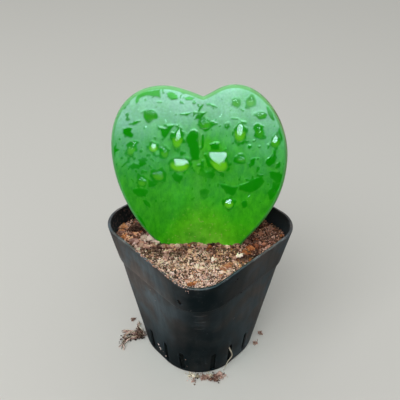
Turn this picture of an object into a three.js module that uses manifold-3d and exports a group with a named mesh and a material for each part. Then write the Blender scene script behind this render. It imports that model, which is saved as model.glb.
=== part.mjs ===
// A potted hoya cutting: one thick heart-shaped leaf, rooted in a crumbly mix, in a small square nursery
// pot that is turned so that a rounded corner points to the front. Water beads lie on the leaf's face.
// Millimetres, +Z up, front towards -Y, the pot standing on Z = 0 with its middle on the Z axis.
import * as THREE from "three";
import { mergeVertices } from "three/addons/utils/BufferGeometryUtils.js";
import Module from "manifold-3d";

const { degToRad, lerp, smoothstep } = THREE.MathUtils;

// Pot: a common 7 x 7 x 8 cm size, moulded thin, with a collar that steps out below the rim.
const POT_HEIGHT = 76;
const POT_TURN = degToRad(43.6);
const RIM_SIDE = 70;
const RIM_CORNER = 14.3;
const BASE_SIDE = 55;
const BASE_CORNER = 23.5;
const COLLAR_HEIGHT = 18;
const COLLAR_SIDE = 66;
const COLLAR_STEP = 0.6;
const WALL = 0.8;
const FLOOR = 1.2;
const LIP_WIDTH = 1.2;
const LIP_HEIGHT = 1.4;
const FOOT_ROUND = 0.7;
const CORNER_STEPS = 8;

// Drain holes: four arched slots round each corner of the foot, and one hole in the middle of the floor.
const SLOT_WIDTH = 3.4;
const SLOT_FOOT = 1.6;
const SLOT_TOP = 17.4;
const SLOT_INNER_RADIUS = 24.5;
const SLOT_ANGLES = [-34, -15, 15, 34];
const SLOT_ARCH_STEPS = 6;
const FLOOR_HOLE_RADIUS = 4.5;
const FLOOR_HOLE_SIDES = 20;

// Soil: low at the walls, banked against the leaf and heaped towards the front corner.
const GAP = 0.3;
const SOIL_LEVEL = 67;
const LEAF_BANK = { high: 3, at: -9, deep: 10, wide: 26 };
const FRONT_HEAP = { high: 5, from: 12, to: 34 };
const CRUMB_RELIEF = 1.5;
const CRUMB_CELLS = 27;
const LOOSE_CRUMBS = { count: 38, field: 38, small: 1.1, large: 2.6, flat: 0.7 };

// Leaf: a thick blade that leans back and curls a little further back towards its lobes.
const LEAF_FOOT = [-1, -6.8, 70];
const LEAF_TURN = degToRad(-3);
const LEAF_LEAN_AT_SOIL = degToRad(14);
const LEAF_LEAN_AT_TOP = degToRad(22);
const LEAF_RISE = 72;
const LEAF_HALF_WIDTH = 38.5;
const LEAF_CUP = 1.6;
const LEAF_THICKNESS = 3.4;
const LEAF_EDGE_POINTS = 72;
const LEAF_MIDDLE = [0, 36];
const LEAF_INNER_RINGS = [0.3, 0.62];
const CURL_PER_MM = (LEAF_LEAN_AT_TOP - LEAF_LEAN_AT_SOIL) / LEAF_RISE;
const BEAD_LIFT = LEAF_THICKNESS / 2 + GAP;

// The leaf's outline on its own face: u to the right, v up from the soil line.
const NOTCH = [0.8, 66.2];
const LEAF_TIP = [-0.8, -19];
const TIP_HALF_WIDTH = 4;
const LEFT_SIDE = {
  sign: -1,
  lobeTop: [-14.8, 70.1],
  widest: [-39.5, 43.7],
  atSoil: [-20.4, 0],
  reach: { notch: [3.8, 1.5], lobeIn: 4.4, lobeOut: 15, up: 16, down: 18.7, soil: [8.4, 7] },
};
const RIGHT_SIDE = {
  sign: 1,
  lobeTop: [14.7, 72.1],
  widest: [38.5, 40],
  atSoil: [21, 0],
  reach: { notch: [4.7, 2], lobeIn: 6.6, lobeOut: 13, up: 15.5, down: 21, soil: [7.2, 9.8] },
};

// Water beads: place of the middle on the leaf's face, size, turn and how much one end narrows.
const BEADS = [
  { at: [-9, 37.3], wide: 9.4, tall: 6.2, high: 2, turn: 0, taper: 0 },
  { at: [9.2, 38.6], wide: 7.4, tall: 11, high: 2.2, turn: 48, taper: 0.5 },
  { at: [-9.6, 48.4], wide: 4.8, tall: 9, high: 1.6, turn: -8, taper: 0.2 },
  { at: [17, 51.9], wide: 5.5, tall: 8.5, high: 1.7, turn: 0, taper: 0.2 },
  { at: [-20.2, 44.3], wide: 4.2, tall: 4, high: 1.5, turn: 0, taper: 0 },
  { at: [13.6, 20.2], wide: 4.5, tall: 4.8, high: 1.5, turn: 0, taper: 0 },
  { at: [32.4, 48.6], wide: 4.2, tall: 5.6, high: 1.5, turn: -10, taper: 0.1 },
  { at: [-21.8, 57.6], wide: 6.5, tall: 5, high: 1.6, turn: 0, taper: 0 },
  { at: [25.1, 52.9], wide: 3.6, tall: 6.8, high: 1.2, turn: 15, taper: 0.2 },
  { at: [20.8, 65.2], wide: 3.6, tall: 4.8, high: 1.2, turn: -20, taper: 0.1 },
  { at: [14.7, 64.6], wide: 3.2, tall: 3.5, high: 1, turn: 20, taper: 0 },
  { at: [25.5, 59.7], wide: 4.2, tall: 2.5, high: 0.8, turn: 0, taper: 0 },
  { at: [2.4, 54.4], wide: 7.6, tall: 3.8, high: 1, turn: 20, taper: 0 },
  { at: [-29.7, 43.4], wide: 3.4, tall: 7.4, high: 1.2, turn: -26, taper: 0.25 },
  { at: [-15.4, 42.3], wide: 3.6, tall: 5.6, high: 1.2, turn: 20, taper: 0 },
  { at: [18, 40.6], wide: 4.8, tall: 3, high: 1, turn: 0, taper: 0 },
  { at: [-18.2, 31.8], wide: 6.4, tall: 5, high: 1.2, turn: -30, taper: 0.2 },
  { at: [-25.5, 28.4], wide: 4.3, tall: 4.5, high: 1.1, turn: 0, taper: 0 },
];
const BEAD_SIDES = 12;
const BEAD_DOME = [[1, 0], [0.95, 0.38], [0.72, 0.76], [0.38, 0.96]];

// Petiole and roots, from the blade's buried end. The last root leaves by a drain slot and hangs to the ground.
const PETIOLE = { path: [[-1.5, -10.4, 56], [-1.6, -11.4, 50], [-1.4, -11.6, 43]], thick: 2, thin: 1.6 };
const ROOTS = [
  { path: [[-1.4, -11.6, 45], [-8, -10, 38], [-14, -4, 30], [-17, 4, 20]], thick: 0.8, thin: 0.5 },
  { path: [[-1.4, -11.6, 44.4], [1, -4, 36], [4, 6, 28], [12, 12, 16]], thick: 0.8, thin: 0.5 },
  { path: [[-1.4, -11.6, 44.4], [-5, -15, 34], [-6, -19, 22], [-10, -19, 12]], thick: 0.8, thin: 0.5 },
  {
    path: [
      [-1.4, -11.6, 44.4], [4, -14.6, 34], [9.5, -18.4, 24], [13.4, -22.2, 17], [15.7, -25.8, 14.4],
      [16.6, -25.2, 11.2], [16.8, -24.4, 8.4], [16.1, -24.9, 6.8], [14.8, -25.9, 5.2], [13.9, -26.4, 3],
      [13.3, -26.7, 0.6],
    ],
    thick: 0.8,
    thin: 0.42,
  },
];

// Coir fibres that trail out of a slot on the left, in the order in which they leave the wad at the slot.
const FIBRE_WAD = { at: [-31.4, -5.6, 1.5], size: [1.9, 1.5, 1.4] };
const FIBRES = [
  [[-30.6, -5.8, 1.6], [-33.4, -3.4, 1.3], [-36.2, -4.4, 0.9], [-39, -3, 0.8], [-42, -3.8, 0.6]],
  [[-32, -5.4, 1.4], [-35.4, -5.4, 2], [-38.6, -4.8, 1.5], [-41.2, -6.6, 0.9], [-39.4, -8.8, 0.7], [-37, -8, 1]],
  [[-32, -6, 1.2], [-35, -7.4, 1.4], [-38.2, -9.2, 0.9], [-41, -11, 0.7], [-42, -13, 0.6]],
  [[-31.6, -6, 1], [-34.6, -6.4, 1], [-37.6, -8, 2], [-40.4, -10.4, 1.2], [-40.8, -13.4, 1], [-40, -15.6, 0.6]],
  [[-31.4, -5, 1.4], [-33.4, -2, 1.1], [-34.4, 0.8, 0.7], [-33.6, 3.2, 0.6]],
];
const FIBRE_THICK = 0.5;
const FIBRE_THIN = 0.4;

// Crumbs of the mix washed out of the front slots: place on the ground, and half sizes.
const SPILLED_CRUMBS = [
  { at: [-3.4, -31.2], size: [2.2, 1.2, 1] },
  { at: [-1.2, -31.6], size: [1.6, 1.3, 0.9] },
  { at: [0.9, -31.2], size: [1.7, 1.4, 1.1] },
  { at: [3, -31.4], size: [1.8, 1.6, 1.4] },
  { at: [3.4, -33], size: [1.5, 1.3, 0.9] },
  { at: [5.4, -31], size: [1.9, 1.4, 1.5] },
  { at: [7.2, -32.6], size: [2, 1.8, 1.7] },
  { at: [8.8, -34], size: [1.9, 1.5, 1.1] },
  { at: [9.4, -31.4], size: [1.8, 1.6, 1.3] },
  { at: [11.2, -30.6], size: [1.6, 1.2, 1] },
];

const STRAND_STEP = 2.2;
const STRAND_SIDES = 6;

const wasm = await Module();
wasm.setup();

const material = {
  plastic: new THREE.MeshStandardMaterial({ color: 0x1c1e20, roughness: 0.5 }),
  soil: new THREE.MeshStandardMaterial({ color: 0x7a594a, roughness: 0.95 }),
  leaf: new THREE.MeshStandardMaterial({ color: 0x2f9e1e, roughness: 0.35 }),
  fibre: new THREE.MeshStandardMaterial({ color: 0x7b5330, roughness: 0.9 }),
  water: new THREE.MeshStandardMaterial({ color: 0xcfeccb, roughness: 0.05 }),
};

// Repeatable random numbers from 0 to 1.
function seeded(seed) {
  let state = seed;
  return () => {
    state = (state + 0x6d2b79f5) | 0;
    let t = Math.imul(state ^ (state >>> 15), 1 | state);
    t = (t + Math.imul(t ^ (t >>> 7), 61 | t)) ^ t;
    return ((t ^ (t >>> 14)) >>> 0) / 4294967296;
  };
}

// A closed surface through rings of equal count, each ring turning anticlockwise about the way of travel.
function loft(rings) {
  const count = rings[0].length;
  const positions = rings.flat().flatMap((p) => [p.x, p.y, p.z]);
  const index = [];
  const middle = (ring) => ring.reduce((sum, p) => sum.add(p), new THREE.Vector3()).divideScalar(count);
  const first = rings.length * count;
  const last = first + 1;
  positions.push(...middle(rings[0]).toArray(), ...middle(rings.at(-1)).toArray());
  for (let j = 0; j < count; j++) {
    const k = (j + 1) % count;
    index.push(first, k, j);
    for (let i = 0; i + 1 < rings.length; i++) {
      const low = i * count;
      const high = low + count;
      index.push(low + j, low + k, high + k, low + j, high + k, high + j);
    }
    index.push(last, first - count + j, first - count + k);
  }
  const geometry = new THREE.BufferGeometry();
  geometry.setAttribute("position", new THREE.Float32BufferAttribute(positions, 3));
  geometry.setIndex(index);
  return geometry;
}

function toSolid(geometry) {
  const bare = geometry.clone();
  bare.deleteAttribute("normal");
  bare.deleteAttribute("uv");
  const merged = mergeVertices(bare, 1e-4);
  const mesh = new wasm.Mesh({
    numProp: 3,
    vertProperties: new Float32Array(merged.attributes.position.array),
    triVerts: new Uint32Array(merged.index.array),
  });
  return new wasm.Manifold(mesh);
}

// The largest body of a solid: a scrap that a cut leaves loose is dropped.
function wholeBody(solid) {
  return solid.decompose().sort((a, b) => b.volume() - a.volume())[0];
}

function toMesh(name, solid, finish) {
  const { vertProperties, triVerts } = solid.getMesh();
  const geometry = new THREE.BufferGeometry();
  geometry.setAttribute("position", new THREE.BufferAttribute(new Float32Array(vertProperties), 3));
  geometry.setIndex(new THREE.BufferAttribute(new Uint32Array(triVerts), 1));
  geometry.computeVertexNormals();
  const mesh = new THREE.Mesh(geometry, finish);
  mesh.name = name;
  return mesh;
}

function join(solids) {
  return solids.reduce((sum, solid) => sum.add(solid));
}

// A tapered round strand along a smooth curve through its points.
function strand(path, thick, thin, grow = 0) {
  const curve = new THREE.CatmullRomCurve3(path.map((p) => new THREE.Vector3(...p)));
  const steps = Math.max(4, Math.round(curve.getLength() / STRAND_STEP));
  const { normals, binormals } = curve.computeFrenetFrames(steps);
  const rings = normals.map((normal, i) => {
    const centre = curve.getPointAt(i / steps);
    const radius = lerp(thick, thin, i / steps) + grow;
    return Array.from({ length: STRAND_SIDES }, (_, j) => {
      const a = (2 * Math.PI * j) / STRAND_SIDES;
      return centre.clone()
        .addScaledVector(normal, radius * Math.cos(a))
        .addScaledVector(binormals[i], radius * Math.sin(a));
    });
  });
  return toSolid(loft(rings));
}

// An angular crumb, squashed to its half sizes, turned at random, and cut flat at the ground.
function crumb(at, size, random) {
  const rough = new THREE.IcosahedronGeometry(1, 0);
  const geometry = mergeVertices(rough.deleteAttribute("normal").deleteAttribute("uv"));
  geometry.rotateX(random() * Math.PI).rotateZ(random() * Math.PI);
  geometry.scale(...size).translate(...at);
  const place = geometry.attributes.position;
  for (let i = 0; i < place.count; i++) place.setZ(i, Math.max(0, place.getZ(i)));
  return toSolid(geometry);
}

// The pot's outside at a height: half its side and its corner radius.
function lowerWall(z) {
  const top = COLLAR_SIDE - 2 * COLLAR_STEP;
  return {
    half: lerp(BASE_SIDE, top, z / (POT_HEIGHT - COLLAR_HEIGHT)) / 2,
    corner: lerp(BASE_CORNER, RIM_CORNER, z / POT_HEIGHT),
  };
}

function collarWall(z) {
  const up = (z - POT_HEIGHT + COLLAR_HEIGHT) / COLLAR_HEIGHT;
  return { half: lerp(COLLAR_SIDE, RIM_SIDE, up) / 2, corner: lerp(BASE_CORNER, RIM_CORNER, z / POT_HEIGHT) };
}

// A rounded square ring at a height, moved in from the wall's outside by an inset.
function squareRing(wall, z, inset) {
  const { half, corner } = wall(z);
  const radius = corner - inset;
  const ring = [];
  for (let quarter = 0; quarter < 4; quarter++) {
    const turn = POT_TURN + (quarter * Math.PI) / 2;
    const axis = new THREE.Vector3(0, 0, 1);
    for (let i = 0; i <= CORNER_STEPS; i++) {
      const a = (i / CORNER_STEPS) * (Math.PI / 2);
      const x = half - corner + radius * Math.cos(a);
      const y = half - corner + radius * Math.sin(a);
      ring.push(new THREE.Vector3(x, y, z).applyAxisAngle(axis, turn));
    }
  }
  return ring;
}

// The pot's cavity, moved in from the wall's inside by a clearance.
function cavity(clearance, top) {
  const foot = FLOOR + clearance;
  const step = POT_HEIGHT - COLLAR_HEIGHT;
  const inset = WALL + clearance;
  return [
    squareRing(lowerWall, foot, inset + FOOT_ROUND),
    squareRing(lowerWall, foot + FOOT_ROUND, inset),
    squareRing(lowerWall, step - COLLAR_STEP / 2, inset),
    squareRing(collarWall, step + COLLAR_STEP / 2, inset),
    squareRing(collarWall, top, inset),
  ];
}

// The cutter of an arched slot in the wall, pointing out at an angle from the front.
function slotCutter(angle) {
  const half = SLOT_WIDTH / 2;
  const shape = new THREE.Shape();
  shape.moveTo(-half, SLOT_FOOT);
  shape.lineTo(half, SLOT_FOOT);
  shape.absarc(0, SLOT_TOP - half, half, 0, Math.PI);
  const depth = RIM_SIDE / 4;
  const geometry = new THREE.ExtrudeGeometry(shape, { depth, bevelEnabled: false, curveSegments: SLOT_ARCH_STEPS });
  geometry.translate(0, 0, SLOT_INNER_RADIUS).rotateX(Math.PI / 2).rotateZ(angle);
  return toSolid(geometry);
}

function pot() {
  const step = POT_HEIGHT - COLLAR_HEIGHT;
  const lipFoot = POT_HEIGHT - LIP_HEIGHT;
  const outside = [
    squareRing(lowerWall, 0, FOOT_ROUND),
    squareRing(lowerWall, FOOT_ROUND, 0),
    squareRing(lowerWall, step - COLLAR_STEP / 2, 0),
    squareRing(collarWall, step + COLLAR_STEP / 2, 0),
    squareRing(collarWall, POT_HEIGHT - GAP, 0),
    squareRing(collarWall, POT_HEIGHT, GAP),
  ];
  const lip = [squareRing(collarWall, POT_HEIGHT, LIP_WIDTH), squareRing(collarWall, lipFoot, LIP_WIDTH)];
  const inside = cavity(0, lipFoot - (LIP_WIDTH - WALL)).reverse();
  const holeDepth = 4 * FLOOR;
  const floorHole = new THREE.CylinderGeometry(FLOOR_HOLE_RADIUS, FLOOR_HOLE_RADIUS, holeDepth, FLOOR_HOLE_SIDES);
  const cutters = [toSolid(floorHole.rotateX(Math.PI / 2))];
  const cornerAtFront = POT_TURN - Math.PI / 4;
  for (let corner = 0; corner < 4; corner++)
    for (const angle of SLOT_ANGLES)
      cutters.push(slotCutter(cornerAtFront + (corner * Math.PI) / 2 + degToRad(angle)));
  return toSolid(loft([...outside, ...lip, ...inside])).subtract(join(cutters));
}

function soilHeight(x, y) {
  const { high, at, deep, wide } = LEAF_BANK;
  const bank = high * Math.exp(-(((y - at) / deep) ** 2) - (x / wide) ** 4);
  return SOIL_LEVEL + bank + FRONT_HEAP.high * smoothstep(-y, FRONT_HEAP.from, FRONT_HEAP.to);
}

// A block whose top is broken into crumbs, a little larger than the pot's mouth.
function crumbBlock(random) {
  const geometry = new THREE.BoxGeometry(RIM_SIDE, RIM_SIDE, POT_HEIGHT, CRUMB_CELLS, CRUMB_CELLS, 1);
  const block = mergeVertices(geometry.deleteAttribute("normal").deleteAttribute("uv"));
  block.rotateZ(POT_TURN);
  const place = block.attributes.position;
  for (let i = 0; i < place.count; i++)
    if (place.getZ(i) > 0)
      place.setZ(i, soilHeight(place.getX(i), place.getY(i)) + CRUMB_RELIEF * (random() - 0.5));
  return toSolid(block);
}

function soil() {
  const random = seeded(7);
  const { count, field, small, large, flat } = LOOSE_CRUMBS;
  const pieces = [crumbBlock(random)];
  for (let i = 0; i < count; i++) {
    const angle = 2 * Math.PI * random();
    const radius = field * Math.sqrt(random());
    const [x, y] = [radius * Math.cos(angle), radius * Math.sin(angle)];
    const size = lerp(small, large, random() ** 2);
    pieces.push(crumb([x, y, soilHeight(x, y)], [size, size * lerp(flat, 1, random()), size * flat], random));
  }
  const filled = join(pieces).intersect(toSolid(loft(cavity(GAP, POT_HEIGHT - LIP_HEIGHT - 1))));
  return wholeBody(filled.subtract(leaf(GAP)));
}

// A place on the leaf, from its outline coordinates and the height above its middle surface.
function onLeaf(u, v, off) {
  const lean = LEAF_LEAN_AT_SOIL + CURL_PER_MM * v;
  const up = off - LEAF_CUP * (u / LEAF_HALF_WIDTH) ** 2;
  const back = (Math.cos(LEAF_LEAN_AT_SOIL) - Math.cos(lean)) / CURL_PER_MM - up * Math.cos(lean);
  const rise = (Math.sin(lean) - Math.sin(LEAF_LEAN_AT_SOIL)) / CURL_PER_MM + up * Math.sin(lean);
  return new THREE.Vector3(u, back, rise)
    .applyAxisAngle(new THREE.Vector3(0, 0, 1), LEAF_TURN)
    .add(new THREE.Vector3(...LEAF_FOOT));
}

// One side of the heart, as curves from the notch over the lobe and the widest point to the soil line.
function sideCurves({ sign, lobeTop, widest, atSoil, reach }) {
  const moved = ([x, y], dx, dy) => new THREE.Vector2(x + sign * dx, y + dy);
  const at = (p) => moved(p, 0, 0);
  const curve = (...points) => new THREE.CubicBezierCurve(...points);
  const [soilOut, soilUp] = reach.soil;
  return [
    curve(at(NOTCH), moved(NOTCH, ...reach.notch), moved(lobeTop, -reach.lobeIn, 0), at(lobeTop)),
    curve(at(lobeTop), moved(lobeTop, reach.lobeOut, 0), moved(widest, 0, reach.up), at(widest)),
    curve(at(widest), moved(widest, 0, -reach.down), moved(atSoil, soilOut, soilUp), at(atSoil)),
    curve(at(atSoil), moved(atSoil, -soilOut, -soilUp), moved(LEAF_TIP, TIP_HALF_WIDTH, 0), at(LEAF_TIP)),
  ];
}

// Points round the outline, anticlockwise from the notch, moved out by grow.
function leafEdge(grow) {
  const path = new THREE.CurvePath();
  path.curves.push(...sideCurves(LEFT_SIDE));
  for (const { v0, v1, v2, v3 } of sideCurves(RIGHT_SIDE).reverse())
    path.curves.push(new THREE.CubicBezierCurve(v3, v2, v1, v0));
  return movedIn(path.getSpacedPoints(LEAF_EDGE_POINTS).slice(0, LEAF_EDGE_POINTS), -grow);
}

// An anticlockwise outline moved in by a distance.
function movedIn(outline, distance) {
  return outline.map((point, i) => {
    const along = outline[(i + 1) % outline.length].clone().sub(outline.at(i - 1)).normalize();
    return new THREE.Vector2(point.x - along.y * distance, point.y + along.x * distance);
  });
}

// The blade: both faces over the same points, with a round edge between them.
function blade(grow) {
  const round = LEAF_THICKNESS / 2 + grow;
  const edge = leafEdge(grow);
  const middle = new THREE.Vector2(...LEAF_MIDDLE);
  const shoulder = movedIn(edge, round);
  const face = (side) => [
    [movedIn(edge, round * (1 - Math.SQRT1_2)), round * Math.SQRT1_2 * side],
    [shoulder, round * side],
    ...LEAF_INNER_RINGS.map((inward) => [shoulder.map((p) => p.clone().lerp(middle, inward)), round * side]),
  ];
  const levels = [...face(-1).reverse(), [edge, 0], ...face(1)];
  return toSolid(loft(levels.map(([outline, off]) => outline.map((p) => onLeaf(p.x, p.y, off)))));
}

// The whole grown piece: blade, petiole and roots, all thicker by grow where the soil is cut to receive it.
function leaf(grow = 0) {
  const below = [PETIOLE, ...ROOTS].map(({ path, thick, thin }) => strand(path, thick, thin, grow));
  return join([blade(grow), ...below]);
}

// A domed water bead that follows the leaf's face, a hair above it.
function bead({ at, wide, tall, high, turn, taper }) {
  const turned = degToRad(turn);
  const rings = BEAD_DOME.map(([spread, rise]) =>
    Array.from({ length: BEAD_SIDES }, (_, j) => {
      const a = (2 * Math.PI * j) / BEAD_SIDES;
      const across = spread * (wide / 2) * Math.cos(a) * (1 - taper * Math.sin(a));
      const along = spread * (tall / 2) * Math.sin(a);
      const u = at[0] + across * Math.cos(turned) - along * Math.sin(turned);
      const v = at[1] + across * Math.sin(turned) + along * Math.cos(turned);
      return onLeaf(u, v, BEAD_LIFT + high * rise);
    }),
  );
  return toSolid(loft(rings));
}

function fibres() {
  const random = seeded(3);
  const wad = crumb(FIBRE_WAD.at, FIBRE_WAD.size, random);
  return join([wad, ...FIBRES.map((path) => strand(path, FIBRE_THICK, FIBRE_THIN))]);
}

function spill() {
  const random = seeded(11);
  return join(SPILLED_CRUMBS.map(({ at, size }) => crumb([...at, size[2] * 0.6], size, random)));
}

const plant = new THREE.Group();
plant.name = "potted_hoya";
plant.add(
  toMesh("pot", pot(), material.plastic),
  toMesh("soil", soil(), material.soil),
  toMesh("heart_leaf", leaf(), material.leaf),
  toMesh("drain_fibres", fibres(), material.fibre),
  toMesh("spilled_crumbs", spill(), material.soil),
);
const drops = new THREE.Group();
BEADS.forEach((drop, i) => {
  drops.add(toMesh("water_bead_" + String(i + 1).padStart(2, "0"), bead(drop), material.water));
});
plant.add(drops);

export default plant;
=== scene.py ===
# %% [markdown]
# # A potted hoya cutting
# One thick, heart-shaped leaf was rooted as a cutting in a small square nursery pot, and somebody has
# just watered it. The pot, the mix, the leaf and the water are modelled one after the other, each in
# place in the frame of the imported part, in metres. Sizes are written in millimetres times MM.

import bisect
import math
import random

import bmesh
import bpy
from mathutils import Matrix, Vector, geometry, noise


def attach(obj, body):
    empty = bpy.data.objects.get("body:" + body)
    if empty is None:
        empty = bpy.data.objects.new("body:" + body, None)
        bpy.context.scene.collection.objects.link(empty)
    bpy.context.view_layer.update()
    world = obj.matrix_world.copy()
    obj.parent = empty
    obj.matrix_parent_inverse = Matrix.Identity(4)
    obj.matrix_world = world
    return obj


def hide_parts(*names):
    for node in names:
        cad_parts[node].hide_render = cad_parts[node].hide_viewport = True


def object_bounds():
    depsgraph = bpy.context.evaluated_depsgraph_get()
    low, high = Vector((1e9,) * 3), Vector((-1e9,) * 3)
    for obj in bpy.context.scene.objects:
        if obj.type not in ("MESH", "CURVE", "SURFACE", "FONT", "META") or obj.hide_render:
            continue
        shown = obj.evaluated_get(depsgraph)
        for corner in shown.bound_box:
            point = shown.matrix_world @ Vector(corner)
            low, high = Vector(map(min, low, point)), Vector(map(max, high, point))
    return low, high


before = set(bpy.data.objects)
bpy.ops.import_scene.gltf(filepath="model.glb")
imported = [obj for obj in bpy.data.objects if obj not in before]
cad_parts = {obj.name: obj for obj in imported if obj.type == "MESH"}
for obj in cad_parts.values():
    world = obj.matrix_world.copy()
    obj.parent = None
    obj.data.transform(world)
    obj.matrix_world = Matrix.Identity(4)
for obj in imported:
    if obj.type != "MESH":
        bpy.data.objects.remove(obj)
CAD_BOX = [list(corner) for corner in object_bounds()]
MM = 0.001
print("frame box in mm:", [[round(c / MM, 1) for c in corner] for corner in CAD_BOX])

# %% [markdown]
# ## The camera
# The photo looks down at the plant from about a quarter of a metre away. A camera could be placed by
# eye, but a pinhole camera was fitted to the pot's rim, collar and foot, and its place, its slope and its
# slight roll are kept. Its lens follows from the focal length and the picture's width in pixels.

# %% Camera
PHOTO_SIDE_PX = 400
FOCAL_LENGTH_PX = 500
SENSOR_WIDTH = 36
CAMERA_PLACE = Vector((-0.155, -183.05, 223.66)) * MM
LOOK_DOWN = math.radians(36.38)
ROLL = math.radians(0.46)

camera = bpy.data.objects.new("camera", bpy.data.cameras.new("camera"))
camera.data.sensor_width = SENSOR_WIDTH
camera.data.lens = FOCAL_LENGTH_PX / PHOTO_SIDE_PX * SENSOR_WIDTH
camera.data.clip_start = 10 * MM
camera.matrix_world = (
    Matrix.Translation(CAMERA_PLACE)
    @ Matrix.Rotation(math.pi / 2 - LOOK_DOWN, 4, "X")
    @ Matrix.Rotation(ROLL, 4, "Z")
)
bpy.context.scene.collection.objects.link(camera)
bpy.context.scene.camera = camera
print("lens in mm:", camera.data.lens)

# %% [markdown]
# ## The pot
# The real pot is a thin polypropylene shell with a satin skin. It could be lofted ring by ring, but its
# wall is one profile all the way round, so the profile is drawn once, spun into a round pot, and every
# point is then pushed out from the axis until the round pot is a rounded square. Its sizes come first,
# and everything about the wall is worked out from them.

# %% Pot sizes
POT_HEIGHT = 76
POT_TURN = math.radians(43.6)
RIM_HALF = 35
RIM_CORNER = 14.3
BASE_HALF = 27.5
BASE_CORNER = 23.5
COLLAR_FOOT = 58
COLLAR_HALF = 33
COLLAR_STEP = 0.6
WALL = 0.8
FLOOR = 1.2
FLOOR_HOLE = 4.5

print("rim and height of the pot in mm:", 2 * RIM_HALF, POT_HEIGHT)

# %% [markdown]
# ### The wall in numbers
# The wall flares, steps out at the collar, and its corners get tighter towards the rim. Three small
# functions say so for any height and angle, so the pot, the mix and the grit on the wall all agree. The
# two before them blend numbers, and are used for shapes and patterns all through the script.

# %% Wall by height and angle
def smooth(low, high, value):
    """0 up to low, 1 from high on, and a soft S between. Low may be the greater of the two."""
    t = min(1, max(0, (value - low) / (high - low)))
    return t * t * (3 - 2 * t)


def mix(a, b, share):
    """a where the share is 0, b where it is 1, and in between for the rest."""
    return a + (b - a) * share


def corner_share(z):
    """The corner's radius as a share of half the side, at a height."""
    corner = mix(BASE_CORNER, RIM_CORNER, z / POT_HEIGHT)
    return corner / wall_half(z)


def wall_half(z):
    """Half the outside's side at a height."""
    if z < COLLAR_FOOT:
        return mix(BASE_HALF, COLLAR_HALF - COLLAR_STEP, z / COLLAR_FOOT)
    return mix(COLLAR_HALF, RIM_HALF, (z - COLLAR_FOOT) / (POT_HEIGHT - COLLAR_FOOT))


def square_reach(angle, corner):
    """How far a rounded square of half side 1 reaches at an angle round the pot."""
    off_side = abs((angle - POT_TURN + math.pi / 4) % (math.pi / 2) - math.pi / 4)
    if math.tan(off_side) <= 1 - corner:
        return 1 / math.cos(off_side)
    off_corner = math.pi / 4 - off_side
    centre = math.sqrt(2) * (1 - corner)
    return centre * math.cos(off_corner) + math.sqrt(corner**2 - (centre * math.sin(off_corner)) ** 2)


print("side at the foot and the rim in mm:", 2 * wall_half(0), 2 * wall_half(POT_HEIGHT))

# %% [markdown]
# ### The wall's profile
# The halves of a mould give the real wall its outside and its inside. One closed line stands for both
# here. It runs from the floor's hole out, up the outside, over the lip, down the inside and back. Its
# long edges are cut into short rows, so that the wall can bow later, and the spin closes on itself.

# %% Pot profile, spun
LIP_WIDTH = 1.2
LIP_HEIGHT = 1.4
LIP_TAPER = 0.4
RIM_ROUND = 0.3
RIM_DRAFT = 0.05
FOOT_RING = 6
FOOT_ROUND = 0.7
POT_SIDES = 320
ROW_HEIGHT = 1.0
EDGE_ROUND = 0.2
SHARP_EDGE = math.radians(25)

step_foot = COLLAR_FOOT - COLLAR_STEP / 2
step_head = COLLAR_FOOT + COLLAR_STEP / 2
lip_foot = POT_HEIGHT - LIP_HEIGHT
lip_taper = lip_foot - LIP_TAPER
pot_profile = [
    (FLOOR_HOLE, 0),
    (BASE_HALF - FOOT_RING, 0),
    (BASE_HALF - FOOT_ROUND, 0),
    (wall_half(FOOT_ROUND), FOOT_ROUND),
    (wall_half(step_foot), step_foot),
    (wall_half(step_head), step_head),
    (RIM_HALF - RIM_DRAFT, POT_HEIGHT - RIM_ROUND),
    (RIM_HALF - RIM_ROUND, POT_HEIGHT),
    (RIM_HALF - LIP_WIDTH, POT_HEIGHT),
    (RIM_HALF - LIP_WIDTH, lip_foot),
    (wall_half(lip_taper) - WALL, lip_taper),
    (wall_half(step_head) - WALL, step_head),
    (wall_half(step_foot) - WALL, step_foot),
    (wall_half(FLOOR + FOOT_ROUND) - WALL, FLOOR + FOOT_ROUND),
    (BASE_HALF - WALL - FOOT_ROUND, FLOOR),
    (FLOOR_HOLE, FLOOR),
]
pot_shape = bmesh.new()
corners = [pot_shape.verts.new((r * MM, 0, z * MM)) for r, z in pot_profile]
for low, high in zip(corners, corners[1:] + corners[:1]):
    pot_shape.edges.new((low, high))
for edge in list(pot_shape.edges):
    cuts = int(edge.calc_length() / (ROW_HEIGHT * MM))
    if cuts:
        bmesh.ops.subdivide_edges(pot_shape, edges=[edge], cuts=cuts)
bmesh.ops.spin(
    pot_shape, geom=pot_shape.verts[:] + pot_shape.edges[:], cent=(0, 0, 0), axis=(0, 0, 1),
    angle=2 * math.pi, steps=POT_SIDES, use_merge=True,
)
bmesh.ops.recalc_face_normals(pot_shape, faces=pot_shape.faces[:])
sharp_edges = [edge for edge in pot_shape.edges if edge.calc_face_angle(0) > SHARP_EDGE]
bmesh.ops.bevel(
    pot_shape, geom=sharp_edges, offset=EDGE_ROUND * MM, affect="EDGES", segments=2, profile=0.5,
    material=-1,
)
print("spun pot faces:", len(pot_shape.faces))

# %% [markdown]
# ### A wall that isn't quite true
# A thin wall bows where the mix presses on it, and the front corner has three small crescent dents, as
# from a thumb. They could be sculpted, but a few named numbers and one noise do it. Both are moves
# along the radius, so the inside and the outside follow each other. No bow stands proud of the true wall.

# %% Wall bows and dents
BOW = 0.13
BOW_LENGTH = 17
HELD_BY_FOOT = (0, 8)
HELD_BY_RIM = (66, 75)
RIM_HOLD = 0.7
WALL_INSET = 0.05
CRESCENTS = [(0.3, 54.2, 3.6), (0.2, 49.2, 3.2), (0.2, 43.6, 2.8)]
CRESCENT_SAG = 1.1
CRESCENT_DEPTH = 0.38
CRESCENT_WIDTH = 0.8
CRESCENTS_FROM = 38
ROUND_FLOOR = 0.25
SQUARE_FLOOR = 0.8


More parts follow.
